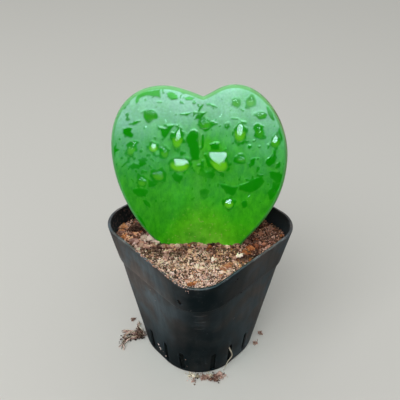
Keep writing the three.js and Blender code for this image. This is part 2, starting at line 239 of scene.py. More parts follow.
def wall_move(place):
    """How far the wall is off its true shape at a place, in millimetres."""
    x, y, z = place / MM
    free = smooth(*HELD_BY_FOOT, z) * (1 - RIM_HOLD * smooth(*HELD_BY_RIM, z))
    move = BOW * free * noise.noise(Vector((x, y, z)) / BOW_LENGTH)
    if y < 0 and z > CRESCENTS_FROM:
        for middle, height, half in CRESCENTS:
            across = (x - middle) / half
            if abs(across) < 1:
                line = height - CRESCENT_SAG * (1 - across**2)
                near = math.exp(-(((z - line) / CRESCENT_WIDTH) ** 2))
                move -= CRESCENT_DEPTH * (1 - across**2) * near
    return min(0, move - WALL_INSET)


for vertex in pot_shape.verts:
    radius = vertex.co.xy.length
    angle = math.atan2(vertex.co.y, vertex.co.x)
    height = vertex.co.z / MM
    squared = square_reach(angle, corner_share(height))
    squared = mix(1, squared, smooth(ROUND_FLOOR, SQUARE_FLOOR, radius / MM / wall_half(height)))
    vertex.co.xy *= squared
    outward = vertex.co.xy.normalized()
    if radius > FLOOR_HOLE * 2 * MM:
        vertex.co.xy += outward * wall_move(vertex.co) * MM
print("deepest dent in mm:", round(-min(wall_move(vertex.co) for vertex in pot_shape.verts), 2))

# %% [markdown]
# ## Drain slots
# Sixteen arched slots go through the foot, four round each corner, so that water can drain. Each could
# be modelled into the wall's own faces, but a cutter leaves those even: a flat arch, pushed out from the
# axis. The collar also has one short torn slit. One Boolean takes all of them out of the wall.

# %% Slot cutters
SLOT_WIDTH = 2.6
SLOT_FOOT = 1.6
SLOT_TOP = 17.4
SLOT_INNER = 23
SLOT_LENGTH = 20
SLOT_ANGLES = [-34, -15, 15, 34]
ARCH_STEPS = 10
SLIT_MIDDLE = (-8.4, -38.9, 63.3)
SLIT_SIZE = (1.5, 4, 3.2)
SLIT_LEAN = math.radians(-32)

cutter_shape = bmesh.new()
arch_centre = SLOT_TOP - SLOT_WIDTH / 2
arch = [(-SLOT_WIDTH / 2, SLOT_FOOT), (SLOT_WIDTH / 2, SLOT_FOOT)]
for i in range(ARCH_STEPS + 1):
    turn = math.pi * i / ARCH_STEPS
    arch.append((SLOT_WIDTH / 2 * math.cos(turn), arch_centre + SLOT_WIDTH / 2 * math.sin(turn)))
for quarter in range(4):
    for angle in SLOT_ANGLES:
        start = [cutter_shape.verts.new((x * MM, -SLOT_INNER * MM, z * MM)) for x, z in arch]
        face = cutter_shape.faces.new(start)
        pushed = bmesh.ops.extrude_face_region(cutter_shape, geom=[face])["geom"]
        ends = [part for part in pushed if isinstance(part, bmesh.types.BMVert)]
        bmesh.ops.translate(cutter_shape, verts=ends, vec=(0, -SLOT_LENGTH * MM, 0))
        turned = POT_TURN - math.pi / 4 + quarter * math.pi / 2 + math.radians(angle)
        bmesh.ops.rotate(
            cutter_shape, verts=start + ends, cent=(0, 0, 0), matrix=Matrix.Rotation(turned, 3, "Z"),
        )
slit = bmesh.ops.create_cube(cutter_shape, size=1)["verts"]
slit_place = (
    Matrix.Translation(Vector(SLIT_MIDDLE) * MM)
    @ Matrix.Rotation(SLIT_LEAN, 4, "Y")
    @ Matrix.Diagonal((*(Vector(SLIT_SIZE) * MM), 1))
)
bmesh.ops.transform(cutter_shape, verts=slit, matrix=slit_place)
bmesh.ops.recalc_face_normals(cutter_shape, faces=cutter_shape.faces[:])
print("slots:", 4 * len(SLOT_ANGLES))

# %% [markdown]
# ## Colours, nodes and materials
# Colours are written as sRGB hex, as a paint program shows them, and Blender wants them linear. A shader
# graph could be drawn by hand in the editor. In a script, one function that adds a node with its settings
# and its links keeps each step to a line or two.

# %% Colour and node helpers
def linear(hex_colour):
    """The linear red, green, blue and alpha of an sRGB hex colour."""
    channels = [int(hex_colour[i:i + 2], 16) / 255 for i in (1, 3, 5)]
    return [c / 12.92 if c <= 0.04045 else ((c + 0.055) / 1.055) ** 2.4 for c in channels] + [1.0]


def add(tree, kind, inputs=None, stops=(), **settings):
    """A new node. An input takes a value or the socket that feeds it, and stops are a ramp's colours."""
    made = tree.nodes.new(kind)
    for name, value in settings.items():
        setattr(made, name, value)
    for name, value in (inputs or {}).items():
        if isinstance(value, bpy.types.NodeSocket):
            tree.links.new(value, made.inputs[name])
        else:
            made.inputs[name].default_value = value
    if stops:
        ramp = made.color_ramp.elements
        ramp[0].position = stops[0][0]
        ramp[1].position = stops[-1][0]
        for position, _ in stops[1:-1]:
            ramp.new(position)
        for stop, (_, colour) in zip(ramp, stops):
            stop.color = linear(colour)
    return made


def new_material(name, **surface):
    """A material, its node tree and its principled shader, with the shader's own sockets set."""
    made = bpy.data.materials.new(name)
    made.use_nodes = True
    shader = made.node_tree.nodes["Principled BSDF"]
    for socket, value in surface.items():
        shader.inputs[socket.replace("_", " ")].default_value = value
    return made, made.node_tree, shader


def per_size(millimetres):
    """The scale of a pattern on object coordinates whose features are this large."""
    return 1 / (millimetres * MM)


print("mid grey in linear light:", round(linear("#808080")[0], 3))

# %% [markdown]
# ## Black polypropylene
# Nursery pots are moulded in black polypropylene: dark, a little rough, so that highlights spread into
# a satin sheen. Handling leaves dust in its texture and rubs the rim paler, which keeps black plastic
# from looking like a hole in the picture. Marks could be painted on as a picture, but noises with real
# sizes are sharp from any distance. Streaks are a noise that is stretched downwards.

# %% Plastic and its noises
STREAK_STRETCH = (1, 1, 0.18)

plastic, tree, shader = new_material(
    "black_polypropylene_moulded", IOR=1.49, Specular_IOR_Level=0.075, Specular_Tint=linear("#fff1f8"),
)
place = add(tree, "ShaderNodeTexCoord").outputs["Object"]
split = add(tree, "ShaderNodeSeparateXYZ", {"Vector": place}).outputs
height = split["Z"]
stretched = add(tree, "ShaderNodeMapping", {"Vector": place, "Scale": STREAK_STRETCH}).outputs[0]
noises = {}
for name, where, millimetres, detail, roughness in [
    ("dust", place, 9, 8, 0.65),
    ("flecks", place, 1.4, 3, 0.7),
    ("smudges", place, 13, 5, 0.6),
    ("streaks", stretched, 4, 6, 0.7),
]:
    noises[name] = add(tree, "ShaderNodeTexNoise", {
        "Vector": where, "Scale": per_size(millimetres), "Detail": detail, "Roughness": roughness,
    }).outputs["Fac"]
print("noises of the plastic:", *noises)

# %% [markdown]
# ### Where the dust lies
# A used pot is never evenly dusty. There is more on its left, less near the foot and behind, and some on
# the collar's ledge and under it. The dust on the left and right is partly dust and partly painted light,
# which makes those faces lighter than the front corner, as the light falls from the front left. Less
# behind also keeps the inner back wall dark as painted shade. Each share below follows a noise or a
# place: while that goes from start to end, the share goes from low to high. Products and sums of shares
# then give the dust.

# %% Shares of dust
shares = {}
for name, follows, start, end, low, high in [
    ("thin dust", noises["dust"], 0.45, 0.75, 0, 0.07),
    # Partly dust, partly painted light: the left face is lighter where the light falls.
    ("left", split["X"], -4 * MM, -24 * MM, 0, 0.38),
    ("right", split["X"], 6 * MM, 26 * MM, 0, 0.23),
    ("above foot", height, 10 * MM, 48 * MM, 0.18, 1),
    ("smudged", noises["smudges"], 0.4, 0.62, 0.78, 1.25),
    ("browner", noises["smudges"], 0.42, 0.58, 1, 0),
    ("streaked", noises["streaks"], 0.3, 0.72, 0.45, 1.3),
    # Less streaked dust behind also keeps the inner back wall dark: painted shade.
    ("in front", split["Y"], 16 * MM, 4 * MM, 0.25, 1),
    ("flecks", noises["flecks"], 0.64, 0.76, 0, 0.42),
    ("rim", height, (POT_HEIGHT - 1) * MM, (POT_HEIGHT - 0.1) * MM, 0, 1),
    ("scuffed", noises["dust"], 0.5, 0.66, 0, 0.3),
    ("speckled", noises["flecks"], 0.42, 0.64, 0.25, 2.4),
    ("stuck", noises["flecks"], 0.54, 0.66, 0, 0.45),
    ("inside left", split["X"], 0, -12 * MM, 0.1, 1.3),
    ("near rim", height, (POT_HEIGHT - 1.1) * MM, (POT_HEIGHT - 0.5) * MM, 0, 0.85),
]:
    shares[name] = add(tree, "ShaderNodeMapRange", {
        "Value": follows, "From Min": start, "From Max": end, "To Min": low, "To Max": high,
    }).outputs["Result"]
print("shares of the plastic's marks:", len(shares))

# %% [markdown]
# ### Dust round the collar
# A ledge catches dust in bands. A colour ramp draws a band with soft edges at its own height. It runs
# from 0 to 1, so it reads the height in tenths of a metre: the collar's foot at 58 mm is 0.58.

# %% Bands and sums of dust
tenths = add(tree, "ShaderNodeMath", {0: height, 1: per_size(100)}, operation="MULTIPLY").outputs[0]
for name, stops in {
    "over collar": [(0.56, "#000000"), (0.582, "#dadada"), (0.6, "#b4b4b4"), (0.66, "#000000")],
    "under collar": [(0.3, "#000000"), (0.46, "#3a3a3a"), (0.565, "#3a3a3a"), (0.575, "#000000")],
    "collar line": [(0.566, "#000000"), (0.572, "#707070"), (0.577, "#909090"), (0.584, "#000000")],
}.items():
    shares[name] = add(tree, "ShaderNodeValToRGB", {"Fac": tenths}, stops=stops).outputs["Color"]
for name, first, *others in [
    ("streaks", "streaked", "in front"),
    ("left dust and light", "left", "above foot", "smudged"),
    ("collar dust", "left dust and light", "over collar"),
    ("rim wear", "rim", "scuffed", "speckled"),
    ("stuck inside", "stuck", "inside left"),
]:
    shares[name] = shares[first]
    for other in others:
        shares[name] = add(tree, "ShaderNodeMath", {
            0: shares[name], 1: shares[other],
        }, operation="MULTIPLY").outputs[0]
dust = add(tree, "ShaderNodeMath", {
    0: shares["thin dust"], 1: shares["under collar"],
}, operation="ADD").outputs[0]
for name in ("left dust and light", "right", "collar dust"):
    dust = add(tree, "ShaderNodeMath", {
        0: shares[name], 1: shares["streaks"], 2: dust,
    }, operation="MULTIPLY_ADD").outputs[0]
print("nodes so far:", len(tree.nodes))

# %% [markdown]
# ### Pale lines of the dents
# Where thin black plastic is creased it turns pale. Each line follows the upper edge of one of the three
# crescents: the same parabola that dents the wall, written in nodes, so that the line can't slip off.

# %% Crease lines
CREASE_LIFT = 0.5
CREASE_CORE = 0.1
CREASE_EDGE = 0.35
CREASE_SHARE = 0.3

creases = 0.0
for middle, high, half in CRESCENTS:
    across = add(tree, "ShaderNodeMath", {0: split["X"], 1: middle * MM}, operation="SUBTRACT").outputs[0]
    across = add(tree, "ShaderNodeMath", {0: across, 1: half * MM}, operation="DIVIDE").outputs[0]
    bowed = add(tree, "ShaderNodeMath", {0: across, 1: across}, operation="MULTIPLY").outputs[0]
    line = add(tree, "ShaderNodeMath", {
        0: bowed, 1: CRESCENT_SAG * MM, 2: (high - CRESCENT_SAG + CREASE_LIFT) * MM,
    }, operation="MULTIPLY_ADD").outputs[0]
    off_line = add(tree, "ShaderNodeMath", {0: height, 1: line}, operation="SUBTRACT").outputs[0]
    off_line = add(tree, "ShaderNodeMath", {0: off_line}, operation="ABSOLUTE").outputs[0]
    crease = shares["streaks"]
    for follows, start, end, most in (
        (off_line, CREASE_CORE * MM, CREASE_EDGE * MM, CREASE_SHARE),
        (bowed, 0.4, 1, 1),
    ):
        fading = add(tree, "ShaderNodeMapRange", {
            "Value": follows, "From Min": start, "From Max": end, "To Min": most, "To Max": 0,
        }).outputs["Result"]
        crease = add(tree, "ShaderNodeMath", {0: crease, 1: fading}, operation="MULTIPLY").outputs[0]
    creases = add(tree, "ShaderNodeMath", {0: creases, 1: crease}, operation="MAXIMUM").outputs[0]
front_only = add(tree, "ShaderNodeMath", {0: split["Y"], 1: -30 * MM}, operation="LESS_THAN").outputs[0]
creases = add(tree, "ShaderNodeMath", {0: creases, 1: front_only}, operation="MULTIPLY").outputs[0]
print("crease lines:", len(CRESCENTS))

# %% [markdown]
# ### The inside of the wall
# Inside, the pot is painted near black, as painted shade, and it is matt and never gets the outside's
# dust. One material serves both sides, as it does on the real pot: where the surface faces the pot's
# axis, it is the inside.

# %% Inside or outside
outward = add(tree, "ShaderNodeVectorMath", {0: place, 1: (1, 1, 0)}, operation="MULTIPLY").outputs[0]
outward = add(tree, "ShaderNodeVectorMath", {0: outward}, operation="NORMALIZE").outputs[0]
facing = add(tree, "ShaderNodeVectorMath", {
    0: outward, 1: add(tree, "ShaderNodeNewGeometry").outputs["Normal"],
}, operation="DOT_PRODUCT").outputs["Value"]
inside = add(tree, "ShaderNodeMapRange", {
    "Value": facing, "From Min": -0.3, "From Max": -0.6, "To Min": 0, "To Max": 1,
}).outputs["Result"]
bare = add(tree, "ShaderNodeMapRange", {
    "Value": inside, "From Min": 0, "From Max": 1, "To Min": 1, "To Max": 0.1,
}).outputs["Result"]
dusty = dust
for share, joined in [
    (shares["flecks"], "MAXIMUM"),
    (creases, "MAXIMUM"),
    (shares["rim wear"], "ADD"),
    (shares["collar line"], "MAXIMUM"),
    (bare, "MULTIPLY"),
]:
    dusty = add(tree, "ShaderNodeMath", {0: dusty, 1: share}, operation=joined, use_clamp=True).outputs[0]
print("nodes so far:", len(tree.nodes))

# %% [markdown]
# ### Colour and sheen of the plastic
# Black plastic is not quite black: it is a dark blue grey, and its dust is grey or, round the collar,
# brown. Dust is also rough, so the sheen goes where it lies. The rim is rubbed smooth. Fine bumps break
# up the highlight, as the mould's grain does. That grain is about a tenth of a millimetre, too fine to
# show, so the bumps are drawn as coarse as the flecks.

# %% Plastic colour and sheen
INSIDE_ROUGHNESS = 0.95
RIM_ROUGHNESS = 0.44

browner = add(tree, "ShaderNodeMath", {
    0: shares["browner"], 1: shares["over collar"],
}, operation="MAXIMUM").outputs[0]
dust_colour = add(tree, "ShaderNodeMix", {
    "Factor": browner, 6: linear("#868c90"), 7: linear("#92827a"),
}, data_type="RGBA").outputs[2]
# Painted shade: the inside's colour is near black.
inside_shade_colour = add(tree, "ShaderNodeMix", {
    "Factor": shares["stuck inside"], 6: linear("#040505"), 7: linear("#6a4a40"),
}, data_type="RGBA").outputs[2]
colour = linear("#131b1d")
for share, over in ((inside, inside_shade_colour), (dusty, dust_colour)):
    colour = add(tree, "ShaderNodeMix", {
        "Factor": share, 6: colour, 7: over,
    }, data_type="RGBA").outputs[2]
rough = add(tree, "ShaderNodeMapRange", {
    "Value": dusty, "From Min": 0, "From Max": 1, "To Min": 0.33, "To Max": 0.8,
}).outputs["Result"]
rough = add(tree, "ShaderNodeMix", {"Factor": inside, "A": rough, "B": INSIDE_ROUGHNESS}).outputs[0]
rough = add(tree, "ShaderNodeMix", {"Factor": shares["near rim"], "A": rough, "B": RIM_ROUGHNESS}).outputs[0]
bump = add(tree, "ShaderNodeBump", {
    "Height": noises["flecks"], "Strength": 0.25, "Distance": 0.05 * MM,
}).outputs["Normal"]
tree.links.new(colour, shader.inputs["Base Color"])
tree.links.new(rough, shader.inputs["Roughness"])
tree.links.new(bump, shader.inputs["Normal"])
print("nodes of the plastic:", len(tree.nodes))

# %% [markdown]
# ## The pot as one piece
# Every piece of the object is finished by one function. It turns the bmesh into an object at the
# origin, gives it its material, lets it ride on the body, and hides the nodes of the imported part that
# it stands for. The pot is the first. Its slots and its slit are cut in one go: a live Boolean modifier
# would be worked out again in every export, so it runs once and its result is kept as plain faces.

# %% Finish a piece, and the pot
def finish(shape, name, material, slot, *nodes, sharp=None):
    """Turns a bmesh into a piece of the object, which rides on the root body and hides the nodes it stands
    for.
    """
    mesh = bpy.data.meshes.new(name)
    shape.to_mesh(mesh)
    shape.free()
    mesh.materials.append(material)
    mesh.shade_smooth()
    if sharp is not None:
        mesh.set_sharp_from_angle(angle=math.radians(sharp))
    made = bpy.data.objects.new(name, mesh)
    bpy.context.scene.collection.objects.link(made)
    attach(made, "root")
    if nodes:
        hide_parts(*nodes)
    print(name, "faces:", len(mesh.polygons))
    return made


pot_solid = bpy.data.objects.new("pot_uncut", bpy.data.meshes.new("pot_uncut"))
pot_shape.to_mesh(pot_solid.data)
pot_shape.free()
cutter = bpy.data.objects.new("slot_cutter", bpy.data.meshes.new("slot_cutter"))
cutter_shape.to_mesh(cutter.data)
cutter_shape.free()
for made in (pot_solid, cutter):
    bpy.context.scene.collection.objects.link(made)
cut = pot_solid.modifiers.new("slots", "BOOLEAN")
cut.object = cutter
cut.operation = "DIFFERENCE"
cut.solver = "EXACT"
bpy.context.view_layer.update()
pot_cut = bmesh.new()
pot_cut.from_mesh(pot_solid.evaluated_get(bpy.context.evaluated_depsgraph_get()).to_mesh())
for made in (pot_solid, cutter):
    bpy.data.objects.remove(made)
finish(pot_cut, "nursery_pot", plastic, "pot_plastic", "pot", sharp=35)

# %% [markdown]
# ## The leaf
# The blade is 3.4 mm thick and leans back, a little more towards its lobes. Its outline is a handful of
# curves on the leaf's own face, where u runs right and v runs up from the soil. A flat disc made of an
# even grid is stretched out to that outline, so the faces stay small and even everywhere, which lets
# water films and the midrib be drawn on it. The edge is a half round, and the back mirrors the front.

# %% Leaf sizes
LEAF_FOOT = Vector((-1, -6.8, 70))
LEAF_TURN = Matrix.Rotation(math.radians(-3), 3, "Z")
LEAN_AT_SOIL = math.radians(14)
LEAN_AT_TOP = math.radians(22)
LEAF_RISE = 72
CURL_PER_MM = (LEAN_AT_TOP - LEAN_AT_SOIL) / LEAF_RISE
LEAF_HALF_WIDTH = 38.5
LEAF_CUP = 1.6
LEAF_ROUND = 1.7
LEAF_MIDDLE = Vector((0, 36))
LEAF_CELLS = 168
EDGE_RINGS = 6
NOTCH = Vector((0.8, 66.8))
LEAF_TIP = Vector((-0.8, -19))
TIP_HALF_WIDTH = 4
# In, out, up and down are how far the curves' handles reach from the top and from the widest place.
LEFT_SIDE = {
    "sign": -1, "top": (-15.4, 70.8), "widest": (-39.5, 43.7), "soil": (-20.4, 0),
    "notch": (3.8, 1.4), "in": 5, "out": 15, "up": 16, "down": 18.7, "at_soil": (8.4, 7),
}
RIGHT_SIDE = {
    "sign": 1, "top": (14.7, 72.1), "widest": (38.5, 40), "soil": (21, 0),
    "notch": (4.7, 2), "in": 6.6, "out": 13, "up": 15.5, "down": 21, "at_soil": (7.2, 9.8),
}


def on_leaf(u, v, off):
    """A place on the leaf, off its middle surface, in metres."""
    lean = LEAN_AT_SOIL + CURL_PER_MM * v
    up = off - LEAF_CUP * (u / LEAF_HALF_WIDTH) ** 2
    back = (math.cos(LEAN_AT_SOIL) - math.cos(lean)) / CURL_PER_MM - up * math.cos(lean)
    rise = (math.sin(lean) - math.sin(LEAN_AT_SOIL)) / CURL_PER_MM + up * math.sin(lean)
    return (LEAF_FOOT + LEAF_TURN @ Vector((u, back, rise))) * MM


print("the leaf's middle in mm:", [round(c / MM, 1) for c in on_leaf(*LEAF_MIDDLE, 0)])

# %% [markdown]
# ### The leaf's outline
# A heart leaf has a smooth edge, and its two sides are not alike. The edge could be many points, but
# four Bezier curves a side stay smooth with a few numbers that can be judged by eye. Every point also
# keeps the way inward, which the rounded edge needs later.

# %% Leaf outline
CHORD = 6


def side_outline(side, steps=80):
    """Points down one side of the heart, from the notch over the lobe to the buried tip."""
    sign = side["sign"]
    top, widest, soil = (Vector(side[key]) for key in ("top", "widest", "soil"))
    notch_out, notch_up = side["notch"]
    soil_out, soil_up = side["at_soil"]
    tip_side = LEAF_TIP + Vector((sign * TIP_HALF_WIDTH, 0))
    spans = [
        (NOTCH, NOTCH + Vector((sign * notch_out, notch_up)), top - Vector((sign * side["in"], 0)), top),
        (top, top + Vector((sign * side["out"], 0)), widest + Vector((0, side["up"])), widest),
        (widest, widest - Vector((0, side["down"])), soil + Vector((sign * soil_out, soil_up)), soil),
        (soil, soil - Vector((sign * soil_out, soil_up)), tip_side, LEAF_TIP),
    ]
    return [point for span in spans for point in geometry.interpolate_bezier(*span, steps)[:-1]]


left = side_outline(LEFT_SIDE)
right = side_outline(RIGHT_SIDE)
outline = left + [LEAF_TIP] + right[:0:-1]
leaf_edge = []
for i, point in enumerate(outline):
    along = outline[(i + CHORD) % len(outline)] - outline[i - CHORD]
    inward = Vector((-along.y, along.x)).normalized()
    from_middle = point - LEAF_MIDDLE
    leaf_edge.append((math.atan2(from_middle.y, from_middle.x), point, inward))
leaf_edge.sort(key=lambda entry: entry[0])
edge_angles = [entry[0] for entry in leaf_edge]


def leaf_edge_at(angle):
    """The outline's point at an angle about the leaf's middle, and the way in from it."""
    i = bisect.bisect(edge_angles, angle)
    before, after = leaf_edge[i - 1], leaf_edge[i % len(leaf_edge)]
    span = (after[0] - before[0]) % (2 * math.pi)
    share = ((angle - before[0]) % (2 * math.pi)) / span if span else 0
    return before[1].lerp(after[1], share), before[2].lerp(after[2], share).normalized()


print("outline points:", len(leaf_edge))

# %% [markdown]
# ## Where the leaf is wet
# The dry skin has a bloom that spreads the sky's light, so it looks mint green. That mint is painted into
# the skin's colour: a painted reflection of the sky. Water fills that bloom in: under a drop, and in each
# flat film that a drop left behind, the skin shows its deep green. The drops come first, because a film
# lies round each. One that is far from round has an outline, as points from its middle. "gathered" is
# how much light a drop throws on the skin under it.

# %% Drops
DROPS = [
    {"at": (-8.7, 37.2), "wide": 10, "tall": 6.6, "high": 2, "turn": 0, "taper": 0,
     "outline": [(-5, -1.4), (-3.8, 0.8), (-2.6, 2.9), (0.2, 2.9), (2.9, 2.9), (4.8, 1.4), (4.4, -1),
                 (2.8, -2.6), (0.4, -3.3), (-2.2, -3.1), (-4.2, -2.4)]},
    {"at": (8.2, 38.8), "wide": 7.4, "tall": 11, "high": 2.2, "turn": 48, "taper": 0.5,
     "outline": [(-5.4, 2.6), (-4.2, 4.4), (-0.3, 4.6), (4, 4.7), (5, 2.1), (4.7, -1.5), (3.5, -3.8),
                 (1.4, -4.3), (-0.9, -3), (-2.3, -0.8), (-4.1, 0.9)]},
    {"at": (-9.6, 48.4), "wide": 4.8, "tall": 9, "high": 1.6, "turn": -8, "taper": 0.2},
    {"at": (17, 51.9), "wide": 5.5, "tall": 8.5, "high": 1.7, "turn": 0, "taper": 0.2},
    {"at": (-20.2, 44.3), "wide": 4.2, "tall": 4, "high": 1.5, "turn": 0, "taper": 0},
    {"at": (13.6, 20.2), "wide": 4.5, "tall": 4.8, "high": 1.5, "turn": 0, "taper": 0},
    {"at": (32.4, 48.6), "wide": 4.2, "tall": 5.6, "high": 1.5, "turn": -10, "taper": 0.1},
    {"at": (-21.5, 58.2), "wide": 6, "tall": 4.6, "high": 1.5, "turn": 0, "taper": 0,
     "outline": [(-2.8, 1.2), (-1.1, 2.6), (1.5, 1.8), (3.3, -0.7), (0.7, -2), (-2, -2.6), (-3.3, -0.9)]},
    {"at": (25.1, 52.9), "wide": 3.6, "tall": 6.8, "high": 1.2, "turn": 15, "taper": 0.2},
    {"at": (20.8, 65.2), "wide": 3.6, "tall": 4.8, "high": 1.2, "turn": -20, "taper": 0.1},
    {"at": (14.7, 64.6), "wide": 3.2, "tall": 3.5, "high": 1, "turn": 20, "taper": 0},
    {"at": (25.5, 59.7), "wide": 4.2, "tall": 2.5, "high": 0.8, "turn": 0, "taper": 0},
    {"at": (2.2, 55.4), "wide": 5.4, "tall": 4.4, "high": 0.9, "turn": 10, "taper": 0},
    {"at": (-29.7, 43.4), "wide": 3.4, "tall": 7.4, "high": 0.9, "turn": -26, "taper": 0.25},
    {"at": (-15.4, 42.3), "wide": 3.6, "tall": 5.6, "high": 0.7, "turn": 20, "taper": 0},
    {"at": (18, 40.6), "wide": 4.6, "tall": 2.8, "high": 0.9, "turn": 0, "taper": 0},
    {"at": (-18.2, 31.8), "wide": 6.4, "tall": 5, "high": 0.5, "turn": -30, "taper": 0.2},
    {"at": (-25.5, 28.4), "wide": 4.3, "tall": 4.5, "high": 0.45, "turn": 0, "taper": 0},
]
GATHERED = [1, 1, 0.8, 0.75, 0.9, 0.8, 0.3, 0.1, 0.15, 0.55, 0.3, 0.2, 0.2, 0.4, 0.35, 0.2, 0.45, 0.35]
print("drops:", len(DROPS), "widest:", max(drop["wide"] for drop in DROPS), "mm")

# %% [markdown]
# ### Films between the drops
# A plain film is an ellipse: the place of its middle, its width, its height and its turn. A film with a
# shape of its own is a traced closed outline on the leaf's face. Painting them as a picture would blur
# up close, and outlines don't.

# %% Films
FILM_MARGIN = 1
FILMS = [
    (-6.2, 59.2, 3, 0.9, 15), (5.2, 62.9, 4, 0.8, -20), (-0.2, 61.8, 1.2, 4.4, -36),
    (-27, 65, 1.6, 4.4, -20),
    (1.2, 47.8, 1.2, 6.4, 0), (21.4, 46, 1.8, 1.8, 0), (20.9, 20, 2.6, 3.8, 0), (-25.2, 7, 1.8, 14, 23),
    (-23.6, 18.4, 2.4, 5, 44), (29.6, 60.2, 1.9, 7.2, 30),
]
POOLS = [
    [(-4.5, 52), (-2.5, 53), (-1, 52), (-0.5, 44), (0, 40), (-3.5, 39), (-4, 43), (-5, 46), (-6, 49)],
    [(-18, 53.5), (-15, 53), (-13, 54.5), (-11.5, 54), (-13.5, 51.5), (-14.5, 49), (-15, 48),
     (-16.5, 49.5), (-17, 51.5)],
    [(-33.5, 52), (-31.5, 52.5), (-29.5, 52.5), (-30, 51), (-29, 49.5), (-29.5, 48), (-32.5, 49),
     (-33.5, 50)],
    [(-29, 47), (-27, 46.5), (-28, 43.5), (-28.5, 42), (-30, 40.5), (-31.5, 41.5), (-31, 43),
     (-30, 44.5)],
    [(-38, 44), (-35.5, 42.5), (-37, 41), (-38, 38.5), (-39, 40.5), (-39, 42)],
    [(-27.5, 67), (-24.5, 68), (-21, 68.5), (-17.5, 69), (-17.5, 66), (-19, 66), (-21.5, 66.5),
     (-24.5, 66), (-26.5, 65)],
    [(-14.5, 67.5), (-13, 68), (-10, 67), (-10, 65.5), (-12.5, 65), (-14, 66)],
    [(-7.5, 66), (-5, 66.5), (-3, 66), (-4, 65), (-6.5, 65)],
    [(-9, 69), (-6, 68.5), (-5.5, 68), (-7, 67.5), (-8.5, 68)],
    [(-2.5, 57), (-1.5, 59), (0.5, 60), (2.5, 60.5), (1, 58), (-1, 57.5)],
    [(-1.5, 55), (0.5, 55), (2.5, 54.5), (3.5, 52.5), (2, 52), (0.5, 53.5)],
    [(2.5, 54.5), (4, 56), (5, 57), (7, 55.5), (5, 54.5), (3.5, 52.5)],
    [(24, 53.5), (25, 54), (27, 52), (26.5, 50), (24, 50), (24.5, 51.5)],
    [(29, 65), (31, 63), (32, 61), (32.5, 59), (30.5, 61), (29.5, 63)],
    [(32, 61), (33.5, 59), (35, 57), (34.5, 56), (33, 58), (32, 59.5)],
    [(33.5, 55.5), (35, 55), (36, 50.5), (35.5, 48), (34.5, 49.5), (33.5, 53)],
    [(32, 45.5), (33, 44), (33, 40.5), (31.5, 38.5), (30.5, 37.5), (29, 39), (29.5, 41.5), (31, 42)],
    [(34, 38.5), (35, 39.5), (35.5, 38), (35, 37), (33.5, 37)],
    [(30.5, 35.5), (33.5, 35), (37, 34), (36.5, 30.5), (34, 29.5), (32.5, 31.5), (31.5, 33)],
    [(32.5, 31.5), (34, 29.5), (36.5, 30.5), (35.5, 28), (33.5, 24.5), (32, 22.5), (30.5, 25.5),
     (32.5, 28)],
    [(18, 29), (22, 30), (25.5, 32), (27.5, 32.5), (28.5, 30.5), (27, 28), (24, 26), (21, 26),
     (18, 27)],
    [(9.5, 29), (13.5, 28), (17, 28), (16.5, 25.5), (15, 24), (12, 25), (10.5, 27)],
    [(0.5, 26), (3, 27), (4.5, 25.5), (4, 22.5), (2, 21.5), (1, 23.5)],
    [(-2.5, 35), (-0.5, 33.5), (1, 36), (3, 34), (5.5, 34.5), (7, 33.5), (6, 31), (4, 31.5),
     (1.5, 32), (-1, 33)],
    [(0.5, 39.5), (2, 39.5), (2, 36), (0.5, 36.5)],
    [(4.5, 46.5), (6.5, 47.5), (8.5, 47.5), (8, 44.5), (5.5, 44.5)],
    [(-12, 32.5), (-10, 33), (-7.5, 32), (-8.5, 28.5), (-10.5, 30)],
    [(-19.5, 34), (-16.5, 35.5), (-14.5, 32.5), (-15, 29), (-18, 29.5), (-19.5, 31.5)],
    [(-27, 38.5), (-25, 39.5), (-23.5, 37), (-26, 35.5)],
    [(-31, 35.5), (-29, 37), (-26.5, 36), (-26.5, 34.5), (-30, 34)],
    [(-27.5, 32.5), (-25, 31), (-26, 28.5), (-28, 30)],
    [(-23, 30.5), (-20.5, 28.5), (-20, 27), (-22.5, 26)],
    [(-30, 24.5), (-26.5, 25.5), (-23, 24.5), (-24, 21.5), (-27.5, 21.5)],
    [(-17.5, 44.5), (-14.5, 44.5), (-13, 43.5), (-13.5, 40.5), (-15.5, 39.5), (-17.5, 40)],
    [(-8.5, 43), (-7, 43.5), (-7, 41.5), (-8, 41)],
    [(10.5, 55.5), (12, 56.5), (12.5, 54.5), (11.5, 53), (10.5, 54)],
    [(-30.5, 54), (-28.5, 55.5), (-26, 55.5), (-27.5, 54.5), (-29, 53.5)],
    [(-24.5, 57.5), (-22.5, 57.5), (-20.5, 58.5), (-18, 57.5), (-21, 56), (-23, 55.5)],
    [(17.5, 39.5), (20, 40), (20, 39), (17.5, 39)],
    [(22.5, 40), (24, 41), (24, 38.5), (22.5, 37.5)],
    [(-8.5, 59), (-6, 59.5), (-3.5, 60), (-6, 58.5)],
    [(-33, 61.5), (-31, 63.5), (-31, 62.5), (-32.5, 60.5), (-34, 60)],
]
pools = [[Vector(corner) for corner in corners] for corners in POOLS]
# Each drop's film reaches FILM_MARGIN past its edge: a dark green ring that is partly wet skin and partly a
# painted contact shadow.
film_list = FILMS + [
    (*drop["at"], drop["wide"] + FILM_MARGIN, drop["tall"] + FILM_MARGIN, drop["turn"]) for drop in DROPS
]
print("films:", len(film_list), "pools:", len(pools))

# %% [markdown]
# ### How wet a place is
# A film's edge is never clean, so noise makes it ragged. The value fades out over a fraction of a
# millimetre, as water does on wax. The many small spots between the films come from noise alone.

# %% How wet
FILM_RAGGED = 0.45
FILM_GRAIN = 2.1
FILM_REACH = 8
POOL_REACH = 12
FILM_FADE = (0.8, 1.12)
POOL_FADE = (-0.5, 0.25)
SPOT_SIZE = 1.9
SPOT_FADE = (0.4, 0.5)
SPOTS_FROM = (14, 24)


